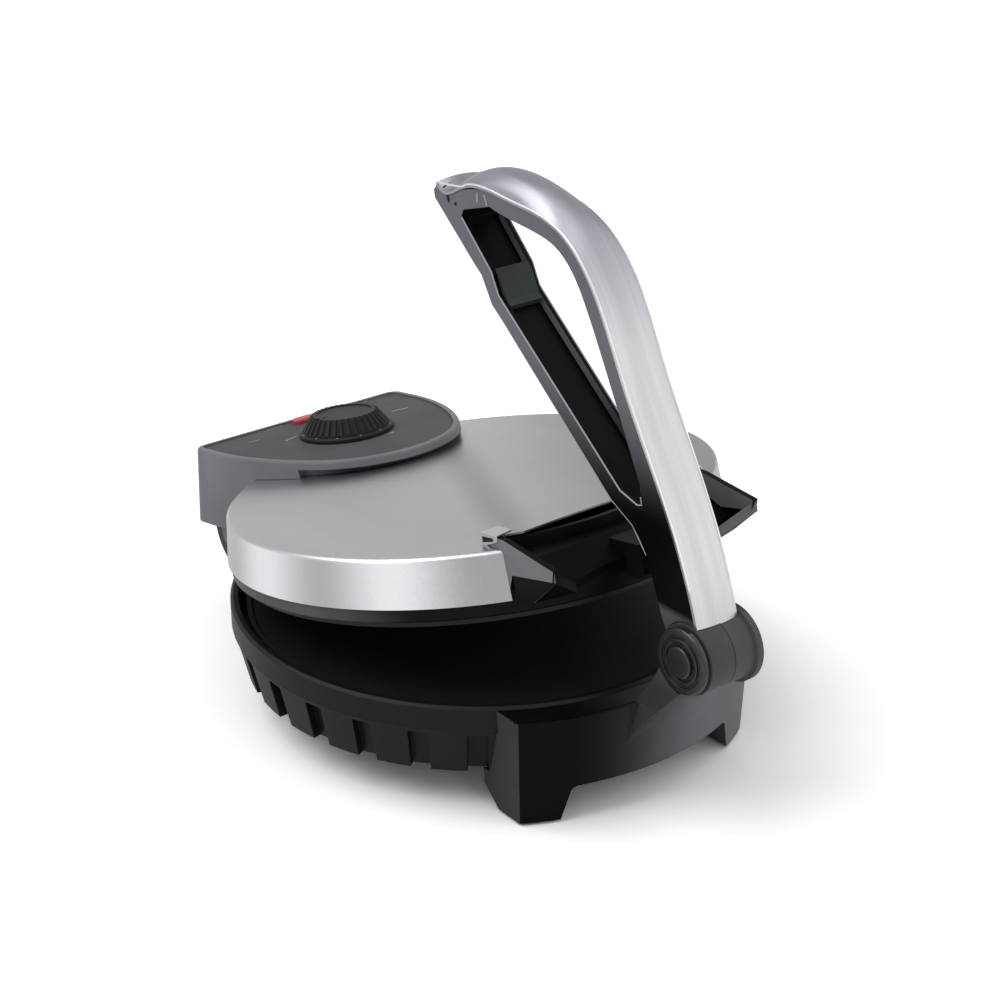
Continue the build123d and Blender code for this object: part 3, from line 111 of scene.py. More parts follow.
class Shader:
    """A node material with short calls for its parts."""

    def __init__(self, name, colour, roughness, metallic=0.0):
        self.material = bpy.data.materials.new(name)
        self.material.use_nodes = True
        self.tree = self.material.node_tree
        self.bsdf = self.tree.nodes["Principled BSDF"]
        self.set("Base Color", (*colour, 1))
        self.set("Roughness", roughness)
        self.set("Metallic", metallic)
        coordinates = self.tree.nodes.new("ShaderNodeTexCoord")
        self.place = coordinates.outputs["Object"]
        self.facing = coordinates.outputs["Normal"]

    def set(self, socket, value):
        self.bsdf.inputs[socket].default_value = value

    def link(self, output, target):
        self.tree.links.new(output, target)

    def mapped(self, source, turn, move=(0, 0, 0), stretch=(1, 1, 1)):
        """A vector turned, then moved."""
        mapping = self.tree.nodes.new("ShaderNodeMapping")
        mapping.inputs["Scale"].default_value = stretch
        mapping.inputs["Rotation"].default_value = turn
        mapping.inputs["Location"].default_value = move
        self.link(source, mapping.inputs["Vector"])
        return mapping.outputs["Vector"]

    def noise(self, scale, detail=4.0, stretch=(1, 1, 1), source=None):
        node = self.tree.nodes.new("ShaderNodeTexNoise")
        node.inputs["Scale"].default_value = scale
        node.inputs["Detail"].default_value = detail
        self.link(self.mapped(source or self.place, (0, 0, 0), (0, 0, 0), stretch), node.inputs["Vector"])
        return node.outputs["Fac"]

    def ramp(self, value, low, high, start=0.3, stop=0.7, smooth=False):
        node = self.tree.nodes.new("ShaderNodeMapRange")
        node.interpolation_type = "SMOOTHSTEP" if smooth else "LINEAR"
        node.inputs["From Min"].default_value = start
        node.inputs["From Max"].default_value = stop
        node.inputs["To Min"].default_value = low
        node.inputs["To Max"].default_value = high
        self.link(value, node.inputs["Value"])
        return node.outputs["Result"]

    def part(self, vector, axis):
        """One component of a vector, X, Y or Z."""
        node = self.tree.nodes.new("ShaderNodeSeparateXYZ")
        self.link(vector, node.inputs["Vector"])
        return node.outputs[axis]

    def math(self, operation, first, second=None):
        node = self.tree.nodes.new("ShaderNodeMath")
        node.operation = operation
        for socket, value in zip(node.inputs, (first, second)):
            if value is None:
                continue
            if isinstance(value, (int, float)):
                socket.default_value = value
            else:
                self.link(value, socket)
        return node.outputs["Value"]

    def mix(self, factor, first, second):
        """A colour between two, each a colour or an output."""
        node = self.tree.nodes.new("ShaderNodeMix")
        node.data_type = "RGBA"
        for name, value in (("A", first), ("B", second)):
            socket = next(s for s in node.inputs if s.name == name and s.type == "RGBA")
            if isinstance(value, (tuple, list)):
                socket.default_value = (*value, 1)
            else:
                self.link(value, socket)
        self.link(factor, node.inputs["Factor"])
        return next(s for s in node.outputs if s.type == "RGBA")

    def scaled(self, colour, value):
        """A colour made brighter or darker by a value."""
        node = self.tree.nodes.new("ShaderNodeVectorMath")
        node.operation = "SCALE"
        self.link(colour, node.inputs[0])
        self.link(value, node.inputs["Scale"])
        return node.outputs["Vector"]

    def colour(self, output):
        self.link(output, self.bsdf.inputs["Base Color"])

    def vary_roughness(self, value, low, high):
        self.link(self.ramp(value, low, high), self.bsdf.inputs["Roughness"])

    def cloudy(self, colour, scale=30, spread=0.12):
        """A colour with a faint cloudy change of shade."""
        dark = tuple(c * (1 - spread) for c in colour)
        light = tuple(min(c * (1 + spread), 1) for c in colour)
        return self.mix(self.ramp(self.noise(scale, 4), 0, 1), dark, light)

    def bump(self, value, strength, distance, edge=0.0):
        """Surface grain, over edges rounded by a small radius."""
        node = self.tree.nodes.new("ShaderNodeBump")
        node.inputs["Strength"].default_value = strength
        node.inputs["Distance"].default_value = distance
        self.link(value, node.inputs["Height"])
        if edge:
            bevel = self.tree.nodes.new("ShaderNodeBevel")
            bevel.samples = 6
            bevel.inputs["Radius"].default_value = edge
            self.link(bevel.outputs["Normal"], node.inputs["Normal"])
        self.link(node.outputs["Normal"], self.bsdf.inputs["Normal"])


def plastic(name, colour, roughness, specular=0.4, edge=0.0007, grain=900, depth=0.00005):
    """Moulded plastic: fine grain, faint cloudy change of gloss and shade, rounded edges."""
    shader = Shader(name, colour, roughness)
    shader.set("Specular IOR Level", specular)
    shader.vary_roughness(shader.noise(14, 3), roughness - 0.05, roughness + 0.06)
    shader.colour(shader.cloudy(colour))
    shader.bump(shader.noise(grain, 2), 0.2, depth, edge)
    return shader


def bare_metal(name, colour, roughness, grain=500):
    """Plain metal with faint handling marks."""
    shader = Shader(name, colour, roughness, 1.0)
    shader.vary_roughness(shader.noise(60, 5), roughness - 0.08, roughness + 0.1)
    shader.colour(shader.cloudy(colour, 25, 0.08))
    shader.bump(shader.noise(grain, 3), 0.15, 0.00003)
    return shader


def coated_plate():
    """Black non-stick coating with a fine fleck."""
    shader = Shader("coated_plate", (0.012, 0.012, 0.013), 0.45)
    shader.set("Specular IOR Level", 0.25)
    fleck = shader.noise(1500, 1)
    shader.colour(shader.mix(shader.ramp(fleck, 0, 1), (0.006, 0.006, 0.007), (0.022, 0.022, 0.024)))
    shader.vary_roughness(shader.noise(40, 4), 0.38, 0.52)
    shader.bump(fleck, 0.2, 0.00005)
    return shader


def red_lens():
    """Translucent red plastic."""
    shader = Shader("red_lens", (0.62, 0.07, 0.09), 0.25)
    shader.set("Transmission Weight", 0.15)
    shader.colour(shader.cloudy((0.62, 0.07, 0.09), 200))
    shader.bump(shader.noise(700, 1), 0.1, 0.00003)
    return shader


# painted reflections on the lid cover's polished steel, as soft bands: place, half width and strength
SIDE_TONE = 0.35
SIDE_PAINTED_REFLECTIONS = [(0.25, 0.05, 0.3), (0.35, 0.05, 0.3), (0.75, 0.15, 0.25)]
TOP_TONE = 0.4
TOP_PAINTED_REFLECTIONS = [(0.5, 0.1, -0.1), (1.0, 0.5, -0.15)]
# the painted reflection bands on top run to the back right
TOP_SLOPE = 0.5
TOP_HALF = 0.1
COVER_COLOUR = (0.60, 0.60, 0.635)
SKIN_COLOUR = (0.5, 0.5, 0.52)
# painted reflection on the skin: darker over the hump, paler down the front
SKIN_HUMP_PAINTED_REFLECTION = (0.36, 0.36, 0.40)
SKIN_FRONT_PAINTED_REFLECTION = (0.62, 0.62, 0.64)


def painted_reflection_bands(shader, value, tone, bands):
    """Steel of a plain tone with painted reflections as soft brighter and darker bands along a value."""
    level = tone
    for centre, half, strength in bands:
        off = shader.math("ABSOLUTE", shader.math("SUBTRACT", value, centre))
        level = shader.math("ADD", shader.ramp(off, strength, 0, 0, half, True), level)
    share = shader.math("DIVIDE", level, SURROUND_LEVEL)
    return shader.mix(share, (0, 0, 0), (0.96, 0.96, 1.0))


def closed_lid_place(shader):
    """Places on the closed lid, from the plates' axis and the hinge's height."""
    turn = Matrix.Rotation(-LID_AJAR, 3, "X")
    middle = lid_point(0, 0, HINGE_HEIGHT)
    return shader.mapped(shader.place, (-LID_AJAR, 0, 0), tuple(-(turn @ middle)))


def lid_cover_metal():
    """Stainless sheet: fine straight brushing on top, with painted reflections as soft bands on top and soft upright
    bands on the side.
    """
    shader = Shader("brushed_cover", COVER_COLOUR, 0.3, 1.0)
    closed = closed_lid_place(shader)
    streaks = shader.noise(1400, 5, (0.012, 1, 1), closed)
    clouds = shader.noise(22, 2, (1, 0.2, 0.2), closed)
    up = shader.mapped(shader.facing, (-LID_AJAR, 0, 0))
    top = shader.ramp(shader.part(up, "Z"), 0, 1, 0.35, 0.8, True)
    around = shader.tree.nodes.new("ShaderNodeTexGradient")
    around.gradient_type = "RADIAL"
    shader.link(shader.mapped(closed, (0, 0, pi / 2)), around.inputs["Vector"])
    # painted reflections: soft upright bands round the side
    side = painted_reflection_bands(shader, around.outputs["Fac"], SIDE_TONE, SIDE_PAINTED_REFLECTIONS)
    across, along = shader.part(closed, "X"), shader.part(closed, "Y")
    line = shader.math("SUBTRACT", across, shader.math("MULTIPLY", along, TOP_SLOPE))
    # painted reflections: soft bands on top, slanting to the back right
    lid = painted_reflection_bands(shader, shader.ramp(line, 0, 1, -TOP_HALF, TOP_HALF), TOP_TONE, TOP_PAINTED_REFLECTIONS)
    both = shader.mix(top, side, lid)
    grain = shader.math("MULTIPLY", shader.ramp(streaks, 0.955, 1.045), shader.ramp(clouds, 0.96, 1.04))
    shader.colour(shader.scaled(both, grain))
    rough = shader.math("MULTIPLY", shader.ramp(streaks, 0.92, 1.08), shader.ramp(top, 0.3, 0.32, 0, 1))
    shader.link(rough, shader.bsdf.inputs["Roughness"])
    shader.bump(streaks, 0.06, 0.00002)
    return shader


def skin_metal():
    """Stainless skin of the lever, brushed along its length, with a painted reflection that makes it darker over the
    hump and paler down the front.
    """
    shader = Shader("brushed_skin_painted_reflection", SKIN_COLOUR, 0.32, 1.0)
    streaks = shader.noise(900, 5, (1, 0.02, 0.02))
    bands = shader.noise(90, 2, (1, 0.06, 0.06))
    height = shader.part(shader.place, "Z")
    # painted reflection: paler down the front, darker over the hump, by height
    front = shader.ramp(height, 1, 0, 0.225, 0.29, True)
    base = shader.mix(front, SKIN_HUMP_PAINTED_REFLECTION, SKIN_FRONT_PAINTED_REFLECTION)
    shade = shader.math("MULTIPLY", shader.ramp(bands, 0.9, 1.12), shader.ramp(streaks, 0.95, 1.05))
    shader.colour(shader.scaled(base, shade))
    shader.vary_roughness(streaks, 0.3, 0.38)
    shader.bump(streaks, 0.05, 0.00002)
    return shader


def bracket_plastic():
    """Satin black plastic, glossier towards the right of the front, with a painted sheen that makes it paler there and
    painted light that makes the side faces paler.
    """
    shader = plastic("bracket_plastic", (0.02, 0.02, 0.022), 0.42, 0.3)
    # painted sheen: paler towards the right of the front
    right = shader.ramp(shader.part(shader.place, "X"), 0, 1, -0.06, 0.035, True)
    right = shader.math("POWER", right, 1.6)
    shader.link(shader.ramp(right, 0.06, 0.4, 0, 1), shader.bsdf.inputs["Specular IOR Level"])
    across = shader.math("ABSOLUTE", shader.part(shader.facing, "X"))
    # painted light: the side faces paler than the front
    side = shader.ramp(across, 0, 1, 0.6, 0.9, True)
    head = shader.ramp(shader.part(shader.place, "Z"), 0, 1, 0.074, 0.082, True)
    front = shader.mix(right, (0.004, 0.004, 0.005), (0.15, 0.15, 0.168))
    tone = shader.mix(side, front, (0.05, 0.05, 0.056))
    tone = shader.mix(head, tone, (0.07, 0.07, 0.076))
    shader.colour(shader.scaled(tone, shader.ramp(shader.noise(25, 4), 0.85, 1.15)))
    return shader


def ring_plastic_painted_sheen():
    """Black plastic of the lid's ring, with a painted sheen that makes it greyer at the far left."""
    shader = plastic("ring_plastic_painted_sheen", (0.012, 0.013, 0.015), 0.42, 0.12)
    # painted sheen: greyer at the far left
    left = shader.ramp(shader.part(shader.place, "X"), 1, 0, -0.128, -0.1, True)
    tone = shader.mix(left, (0.003, 0.003, 0.004), (0.085, 0.088, 0.095))
    shader.colour(shader.scaled(tone, shader.ramp(shader.noise(25, 4), 0.85, 1.15)))
    return shader


def hood_plastic():
    """Satin grey plastic of the control housing, with a painted shadow that makes it black under its overhanging nose.
    """
    shader = plastic("hood_plastic", (0.155, 0.155, 0.172), 0.42, 0.3)
    closed = closed_lid_place(shader)
    # painted shadow: black low on the housing, under the middle of its nose, towards the front
    low = shader.ramp(shader.part(closed, "Z"), 1, 0, 0.0418, 0.0432, True)
    nose = shader.ramp(shader.math("ABSOLUTE", shader.part(closed, "X")), 1, 0, 0.034, 0.06, True)
    ahead = shader.ramp(shader.part(closed, "Y"), 1, 0, 0.125, 0.14, True)
    under = shader.math("MULTIPLY", shader.math("MULTIPLY", low, nose), ahead)
    tone = shader.mix(under, (0.165, 0.165, 0.182), (0.004, 0.004, 0.005))
    shader.colour(shader.scaled(tone, shader.ramp(shader.noise(25, 4), 0.88, 1.12)))
    return shader


def tray_plastic_painted_light():
    """Plastic painted deep black as the shade in the tray, with painted light that makes the outer faces on the ears
    and on the right-hand corner paler.
    """
    shader = plastic("tray_plastic_painted_light", (0.002, 0.002, 0.0025), 0.5, 0.06)
    # painted light: paler outer faces on the ears and on the right-hand corner; the rest painted deep black as shade
    across = shader.math("ABSOLUTE", shader.part(shader.facing, "X"))
    outer = shader.ramp(across, 0, 1, 0.95, 0.99)
    dot = shader.tree.nodes.new("ShaderNodeVectorMath")
    dot.operation = "DOT_PRODUCT"
    shader.link(shader.facing, dot.inputs[0])
    dot.inputs[1].default_value = (-0.496, -0.853, 0.16)
    corner = shader.ramp(dot.outputs["Value"], 0, 1, 0.97, 0.99)
    pale = shader.math("MAXIMUM", outer, corner)
    tone = shader.mix(pale, (0.002, 0.002, 0.0025), (0.2, 0.2, 0.215))
    shader.colour(shader.scaled(tone, shader.ramp(shader.noise(25, 4), 0.88, 1.12)))
    return shader


def lever_plastic():
    """Black loop of the lever: painted sheen makes the sides satin grey, fading out downwards as painted shade; grey
    pivot hub.
    """
    shader = plastic("lever_plastic", (0.002, 0.002, 0.0025), 0.45, 0.08)
    across = shader.math("ABSOLUTE", shader.part(shader.facing, "X"))
    height = shader.part(shader.place, "Z")
    # painted sheen on the side faces, fading out downwards as painted shade
    outer = shader.ramp(across, 0, 1, 0.82, 0.96)
    fade = shader.ramp(height, 0, 1, 0.155, 0.22, True)
    hub = shader.ramp(height, 1, 0, 0.113, 0.117)
    sides = shader.mix(shader.math("MULTIPLY", outer, fade), (0.002, 0.002, 0.0025), (0.165, 0.165, 0.185))
    tone = shader.mix(hub, sides, (0.1, 0.1, 0.108))
    shader.colour(shader.scaled(tone, shader.ramp(shader.noise(25, 4), 0.9, 1.1)))
    return shader


# ------------------------------------------------------------ materials of the nodes

BLACK = plastic("black_plastic", (0.006, 0.006, 0.007), 0.42, 0.22).material
FRAME_RING = ring_plastic_painted_sheen().material
BRACKET = bracket_plastic().material
HINGE_PLASTIC = plastic("hinge_plastic", (0.03, 0.03, 0.033), 0.45, 0.3).material
HOOD = hood_plastic().material
PANEL = plastic("panel_plastic", (0.095, 0.095, 0.104), 0.6, 0.08).material
TRAY = tray_plastic_painted_light().material
LEVER = lever_plastic().material
# light grey plastic of painted highlights along the lever's edges and on its tip ribs
LEVER_PAINTED_HIGHLIGHT = plastic("lever_painted_highlight_plastic", (0.42, 0.42, 0.44), 0.35).material
LEVER_INSERT = plastic("insert_plastic", (0.045, 0.052, 0.056), 0.5, 0.2).material
CAP = plastic("cap_plastic", (0.02, 0.02, 0.022), 0.22, 0.6).material
DIAL_BLACK = plastic("dial_plastic", (0.022, 0.022, 0.024), 0.4, 0.12).material
PRESS = plastic("press_plastic", (0.003, 0.003, 0.0035), 0.5, 0.1).material
RUBBER = plastic("rubber", (0.012, 0.012, 0.012), 0.8, 0.2, 0.0005, 500, 0.0001).material
COVER = lid_cover_metal().material
SKIN = skin_metal().material
TAB = bare_metal("tab_steel", (0.62, 0.62, 0.65), 0.3).material
# steel far paler than the skin: a painted highlight on the rolled edge
BEAD_PAINTED_HIGHLIGHT = bare_metal("bead_steel_painted_highlight", (0.92, 0.92, 0.94), 0.22).material
PLATE = coated_plate().material
SHEET = bare_metal("sheet_metal", (0.6, 0.6, 0.6), 0.35).material
ELEMENT = bare_metal("element_steel", (0.22, 0.2, 0.19), 0.5).material
SCREW = bare_metal("screw_steel", (0.6, 0.6, 0.6), 0.35).material
PIN = bare_metal("pin_steel", (0.65, 0.65, 0.65), 0.28).material
CERAMIC = plastic("ceramic", (0.75, 0.73, 0.68), 0.6).material
PRINT = plastic("print_grey", (0.34, 0.34, 0.35), 0.6, 0.2, 0.0001).material
# near-black patches of painted shade, for slots and a hole
SLOT_PAINTED_SHADE = plastic("painted_slot_shade", (0.01, 0.01, 0.011), 0.6, 0.2, 0.0001).material
LENS = red_lens().material

NODE_MATERIALS = {
    "base_shell": BLACK,
    "base_cover": BLACK,
    "front_bracket": BRACKET,
    "hinge_block": HINGE_PLASTIC,
    "rubber_pads": RUBBER,
    "cable_gland": RUBBER,
    "pivot_pin": PIN,
    "hinge_pins": PIN,
    "dial_shaft": PIN,
    "pivot_cap": CAP,
    "hub_cap": CAP,
    "lower_plate": PLATE,
    "upper_plate": PLATE,
    "lower_element": ELEMENT,
    "upper_element": ELEMENT,
    "lower_clamps": SHEET,
    "upper_clamps": SHEET,
    "lower_reflector": SHEET,
    "upper_reflector": SHEET,
    "cover_screws": SCREW,
    "bracket_screws": SCREW,
    "hinge_block_screws": SCREW,
    "tray_screws": SCREW,
    "hood_screws": SCREW,
    "thermal_fuse": SCREW,
    "lid_cover": COVER,
    "lid_frame": FRAME_RING,
    "handle_tray": TRAY,
    "press_pad": PRESS,
    "control_hood": HOOD,
    "control_panel": PANEL,
    "thermostat": CERAMIC,
    "terminal_block": CERAMIC,
    "lamp_lens": LENS,
    "lamp_holder": BLACK,
    "dial_knob": DIAL_BLACK,
    "lever_frame": LEVER,
    "lever_skin": SKIN,
    "lever_catch": LEVER_INSERT,
}


def dress(name, material):
    mesh = NODES[name].data
    mesh.materials.clear()
    mesh.materials.append(material)


# ------------------------------------------------------------ detail pieces


def add_piece(name, mesh, material, body):
    mesh.materials.append(material)
    piece = bpy.data.objects.new(name, mesh)
    SCENE.collection.objects.link(piece)
    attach(piece, body)
    return piece


def prisms(name, outlines, rise, material, body, bevel=0.0):
    """Plates of any flat outlines, each raised along a vector."""
    shape = bmesh.new()
    for outline in outlines:
        face = shape.faces.new([shape.verts.new(point) for point in outline])
        grown = bmesh.ops.extrude_face_region(shape, geom=[face])
        moved = [item for item in grown["geom"] if isinstance(item, bmesh.types.BMVert)]
        bmesh.ops.translate(shape, verts=moved, vec=rise)
    bmesh.ops.recalc_face_normals(shape, faces=shape.faces)
    mesh = bpy.data.meshes.new(name)
    shape.to_mesh(mesh)
    shape.free()
    piece = add_piece(name, mesh, material, body)
    if bevel:
        modifier = piece.modifiers.new("bevel", "BEVEL")
        modifier.width = bevel
        modifier.segments = 3
    return piece


def bead(name, paths, radius, material, body):
    """Round beads along runs of points."""
    curve = bpy.data.curves.new(name, "CURVE")
    curve.dimensions = "3D"
    curve.bevel_depth = radius
    curve.bevel_resolution = 3
    curve.use_fill_caps = True
    for points in paths:
        spline = curve.splines.new("POLY")
        spline.points.add(len(points) - 1)
        for place, point in zip(spline.points, points):
            place.co = (*point, 1)
    curve.materials.append(material)
    piece = bpy.data.objects.new(name, curve)
    SCENE.collection.objects.link(piece)
    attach(piece, body)
    return piece


def smooth_run(points, steps=8):
    """Points of a rounded curve through the given ones."""
    padded = [points[0] * 2 - points[1], *points, points[-1] * 2 - points[-2]]
    run = []
    for a, b, c, d in zip(padded, padded[1:], padded[2:], padded[3:]):
        for step in range(steps):
            t = step / steps
            run.append(
                0.5 * (2 * b + (c - a) * t + (2 * a - 5 * b + 4 * c - d) * t * t + (3 * b - a - 3 * c + d) * t**3)
            )
    return [*run, points[-1]]


# lines of the lever in side view, in millimetres from its pivot
SKIN_PATH = [
    (195.0, 186.5),
    (178.0, 188.0),
    (159.0, 192.6),
    (133.0, 191.2),
    (103.5, 187.6),
    (82.6, 173.8),
    (66.3, 151.6),
    (52.7, 125.7),
    (27.3, 82.9),
    (-4.5, 15.0),
]
RAIL_EDGE = [(32.1, 42.3), (42.6, 54.4), (58.2, 62.2), (142.6, 129.7), (150.3, 135.3), (158.6, 148.8), (163.9, 152.6), (196.7, 179.7)]
CHANNEL_EDGE = [(37.2, 71.0), (36.2, 67.2), (39.5, 66.0), (52.0, 69.2), (145.5, 141.5), (151.4, 152.5), (175.0, 174.5)]
ROOT_HALF = 13.0
TIP_HALF = 14.0
TAPER_LOW = 18.0
TAPER_HIGH = 195.0
FRAME_INSET = 0.4


def half_width(z):
    """Half the lever's width at a height over the pivot, in millimetres."""
    share = min(max((z - TAPER_LOW) / (TAPER_HIGH - TAPER_LOW), 0), 1)
    return ROOT_HALF + (TIP_HALF - ROOT_HALF) * share


def lever_run(points, inset, side):
    """A run along the lever's left or right face."""
    return [lever_point(side * (half_width(z) - inset), y, z) for y, z in points]


def skin_edge(side):
    """The upper side edge of the skin, read from its mesh from the tip downwards, in millimetres."""
    line = smooth_run([Vector(point) for point in SKIN_PATH], 12)
    highest = {}
    for vertex in NODES["lever_skin"].data.vertices:
        x, y, z = (vertex.co - PIVOT) / MM
        if side * x < half_width(z) - 0.05:
            continue
        here = Vector((y, z))
        index = min(range(1, len(line) - 1), key=lambda i: (line[i] - here).length)
        along = (line[index + 1] - line[index - 1]).normalized()
        rise = (here - line[index]).dot(Vector((along.y, -along.x)))
        if rise > highest.get(index // 3, (0.9, None))[0]:
            highest[index // 3] = (rise, here)
    return smooth_run([highest[index][1] for index in sorted(highest)], 4)


def add_lever_details():
    sides = (-1, 1)
    edges = [lever_run(skin_edge(s), 0.25, s) for s in sides]
    # the skin's rolled edge: a round bead, with a painted highlight in its pale steel
    bead("skin_rolled_edge_painted_highlight", edges, 0.0006, BEAD_PAINTED_HIGHLIGHT, "lever")
    # thin light grey beads along the rail and channel edges: painted highlights
    for name, run in (("rail_painted_highlight_line", RAIL_EDGE), ("channel_painted_highlight_line", CHANNEL_EDGE)):
        paths = [lever_run(run, FRAME_INSET + 0.3, s) for s in sides]
        bead(name, paths, 0.00042, LEVER_PAINTED_HIGHLIGHT, "lever")
    ribs = []
    for s in sides:
        for top, foot in (((161.5, 190.6), (161.5, 185.4)), ((156.2, 190.8), (153.6, 185.7))):
            x = s * (TIP_HALF - FRAME_INSET - 0.1)
            ribs.append(
                [
                    lever_point(x, top[0] - 0.5, top[1]),
                    lever_point(x, top[0] + 0.5, top[1]),
                    lever_point(x, foot[0] + 0.5, foot[1]),
                    lever_point(x, foot[0] - 0.5, foot[1]),
                ]
            )
    # raised ribs on the tip in light grey: painted highlights on a step
    for s, group in ((-1, ribs[:2]), (1, ribs[2:])):
        prisms(f"tip_ribs_painted_highlight_{'left' if s < 0 else 'right'}", group, (s * 0.4 * MM, 0, 0), LEVER_PAINTED_HIGHLIGHT, "lever")
        x = s * (TIP_HALF - FRAME_INSET - 0.12)
        # dark patches of painted shade for a notch and a hole on the tip
        slot = round_outline(lambda y, z: lever_point(x, y, z), (185.6, 182.2), 2.6, 1.0, radians(70))
        dot = round_outline(lambda y, z: lever_point(x, y, z), (179.4, 180.4), 0.9, 0.9, 0)
        prisms(f"tip_painted_hole_shade_{'left' if s < 0 else 'right'}", [slot, dot], (s * 0.25 * MM, 0, 0), SLOT_PAINTED_SHADE, "lever")


def round_outline(place, centre, long_half, short_half, turn, count=16):
    """An oval outline set into a plane by a placing function."""
    points = []
    for index in range(count):
        angle = 2 * pi * index / count
        u = long_half * cos(angle)
        v = short_half * sin(angle)
        points.append(place(centre[0] + u * cos(turn) - v * sin(turn), centre[1] + u * sin(turn) + v * cos(turn)))
    return points


PANEL_TOP = 104.0
DASH_HALF = 0.55
DASHES = [((-31.5, 132.5), (-21.5, 136.0)), ((41.0, 129.8), (51.0, 127.6)), ((-15.5, 139.5), (-14.0, 143.0)), ((10.5, 88.6), (14.0, 89.6))]
FINE_DASHES = [((-24.5, 164.5), (-13.0, 164.5)), ((36.0, 164.5), (47.0, 164.5)), ((-46.0, 150.0), (-38.0, 150.0))]


def add_panel_marks():
    """Plain dashes printed round the dial and the lamp, and dots on the dial's skirt."""
    outlines = []
    for dashes, half in ((DASHES, DASH_HALF), (FINE_DASHES, 0.35)):
        for start, stop in dashes:
            start, stop = Vector(start), Vector(stop)
            along = (stop - start).normalized()
            side = Vector((-along.y, along.x)) * half
            corners = (start - side, stop - side, stop + side, start + side)
            outlines.append([lid_point(x, y, PANEL_TOP) for x, y in corners])
    prisms("panel_dashes", outlines, LID_UP * 0.12 * MM, PRINT, "lid")
    dots = []
    for index in range(12):
        angle = radians(-165 + index * 30)
        centre = (25.6 * cos(angle), 116.5 + 25.6 * sin(angle))
        dots.append(round_outline(lambda x, y: lid_point(x, y, 106.75), centre, 0.55, 0.55, 0, 10))
    prisms("dial_dots", dots, LID_UP * 0.3 * MM, PRINT, "dial")


DECK = 84.0
EAR_WEB = [(-16.5, -2.2), (13.9, 0.3), (15.5, 0.0), (-3.0, -13.0), (-16.0, -13.0)]


def add_corner_tabs():
    """Folded steel corners over the ears' roots, and black webs that close the tray below its ears."""
    for side, hand in ((-1, "left"), (1, "right")):
        plate = [(66.7, -97.0), (55.5, -97.0), (55.5, -108.0), (66.7, -110.0)]
        fold = [(-97.0, 100.7), (-110.0, 100.7), (-110.0, 97.5), (-97.0, 93.0)]
        slot = [(-98.5, 98.6), (-107.0, 98.9), (-107.0, 97.3), (-98.5, 95.6)]
        top = [lid_point(side * x, y, 99.7) for x, y in plate]
        prisms(f"corner_tab_{hand}", [top], LID_UP * MM, TAB, "lid", 0.0004)
        outer = [lid_point(side * 65.9, y, z) for y, z in fold]
        prisms(f"corner_fold_{hand}", [outer], (side * 0.8 * MM, 0, 0), TAB, "lid", 0.0003)
        # dark patch of painted shade for the slot in the fold
        dark = [lid_point(side * 66.6, y, z) for y, z in slot]
        prisms(f"corner_slot_painted_shade_{hand}", [dark], (side * 0.2 * MM, 0, 0), SLOT_PAINTED_SHADE, "lid")
        web = [lid_point(side * 65.0, -135.0 - y, DECK + z) for y, z in EAR_WEB]
        prisms(f"ear_web_{hand}", [web], (side * 0.6 * MM, 0, 0), PRESS, "lid", 0.0001)


# ------------------------------------------------------------ studio

# soft lights of the surroundings as gloss shows them: direction, start and end of the lobe, level
SURROUNDINGS = [
    ((0.62, -0.74, 0.28), 0.35, 0.95, 0.25),
    ((0.0, 0.0, 1.0), 0.80, 0.97, 0.75),
    ((-0.95, 0.15, 0.1), 0.60, 0.95, 0.25),
]
WORLD_LEVEL = 0.5


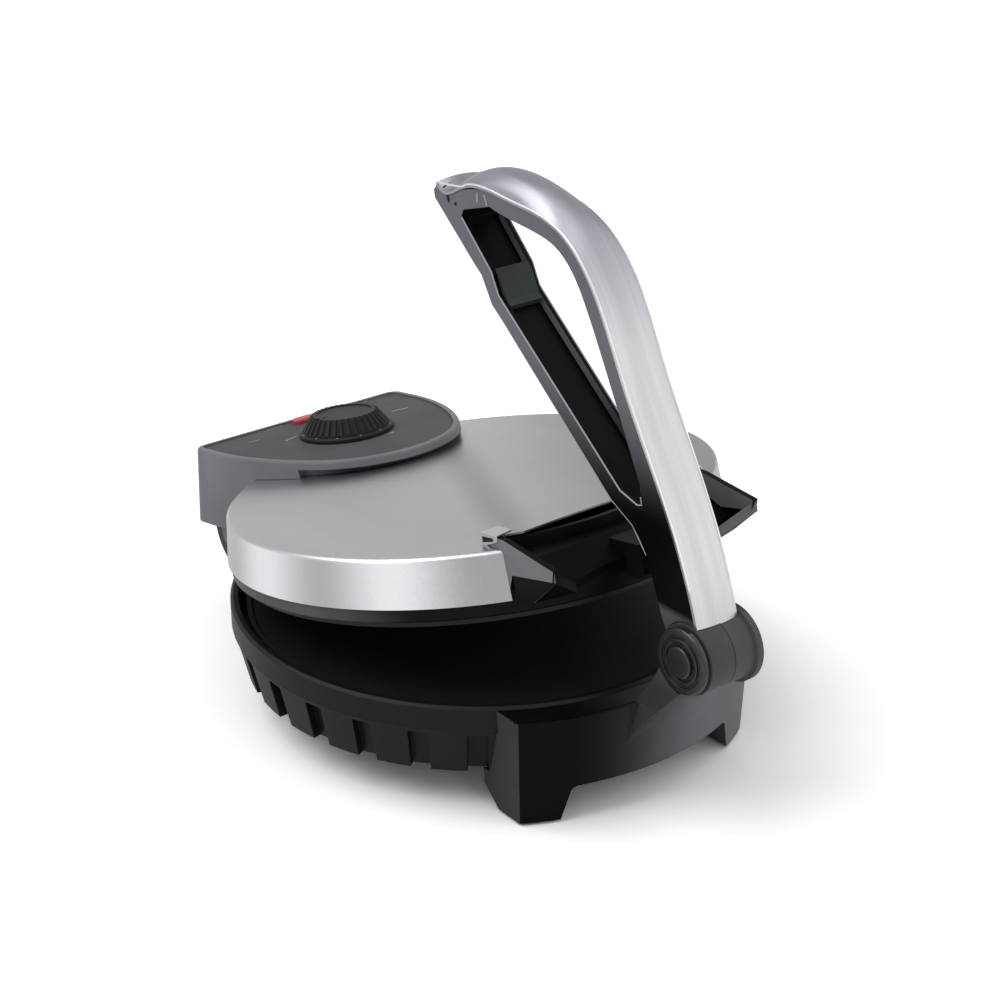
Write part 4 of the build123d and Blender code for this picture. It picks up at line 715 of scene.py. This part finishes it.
def add_world():
    world = bpy.data.worlds.new("studio")
    SCENE.world = world
    world.use_nodes = True
    tree = world.node_tree
    background = tree.nodes["Background"]
    background.inputs["Color"].default_value = (1, 1, 1, 1)

    def math(operation, first, second):
        node = tree.nodes.new("ShaderNodeMath")
        node.operation = operation
        for socket, value in zip(node.inputs, (first, second)):
            if isinstance(value, (int, float)):
                socket.default_value = value
            else:
                tree.links.new(value, socket)
        return node.outputs["Value"]

    direction = tree.nodes.new("ShaderNodeTexCoord").outputs["Generated"]
    glossy = SURROUND_LEVEL
    for axis, start, stop, level in SURROUNDINGS:
        dot = tree.nodes.new("ShaderNodeVectorMath")
        dot.operation = "DOT_PRODUCT"
        tree.links.new(direction, dot.inputs[0])
        dot.inputs[1].default_value = Vector(axis).normalized()
        lobe = tree.nodes.new("ShaderNodeMapRange")
        lobe.interpolation_type = "SMOOTHSTEP"
        for socket, value in (("From Min", start), ("From Max", stop), ("To Min", 0), ("To Max", level)):
            lobe.inputs[socket].default_value = value
        tree.links.new(dot.outputs["Value"], lobe.inputs["Value"])
        glossy = math("ADD", glossy, lobe.outputs["Result"])
    path = tree.nodes.new("ShaderNodeLightPath")
    shiny = math("MAXIMUM", path.outputs["Is Glossy Ray"], path.outputs["Is Transmission Ray"])
    shown = math("MULTIPLY", shiny, glossy)
    plain = math("MULTIPLY", math("SUBTRACT", 1, shiny), WORLD_LEVEL)
    level = math("MAXIMUM", math("ADD", shown, plain), path.outputs["Is Camera Ray"])
    tree.links.new(level, background.inputs["Strength"])


FLOOR_SIZE = 12.0
FLOOR_COLOUR = (0.86, 0.86, 0.86)
FLOOR_SHOWN = (1.42, 1.42, 1.42)


def add_floor():
    mesh = bpy.data.meshes.new("floor")
    shape = bmesh.new()
    bmesh.ops.create_grid(shape, x_segments=4, y_segments=4, size=FLOOR_SIZE)
    shape.to_mesh(mesh)
    shape.free()
    floor = bpy.data.objects.new("floor", mesh)
    SCENE.collection.objects.link(floor)
    shader = Shader("floor", FLOOR_COLOUR, 0.9)
    shader.set("Specular IOR Level", 0.1)
    shader.vary_roughness(shader.noise(3, 2), 0.86, 0.94)
    path = shader.tree.nodes.new("ShaderNodeLightPath")
    shader.colour(shader.mix(path.outputs["Is Camera Ray"], FLOOR_COLOUR, FLOOR_SHOWN))
    mesh.materials.append(shader.material)


def add_sun(name, direction, strength, spread):
    """Wide soft light from a direction, the same all over the floor."""
    data = bpy.data.lights.new(name, "SUN")
    data.energy = strength
    data.angle = radians(spread)
    lamp = bpy.data.objects.new(name, data)
    SCENE.collection.objects.link(lamp)
    lamp.location = Vector(direction) * 2
    lamp.rotation_mode = "QUATERNION"
    lamp.rotation_quaternion = (-Vector(direction)).to_track_quat("-Z", "Y")


add_camera()
SCENE.view_settings.view_transform = "Standard"
for node_name, node_material in NODE_MATERIALS.items():
    dress(node_name, node_material)
add_lever_details()
add_panel_marks()
add_corner_tabs()
add_world()
add_floor()
add_sun("key", (-0.55, 0.35, 1.0), 1.3, 50)
add_sun("fill", (0.7, -0.8, 0.9), 0.4, 90)
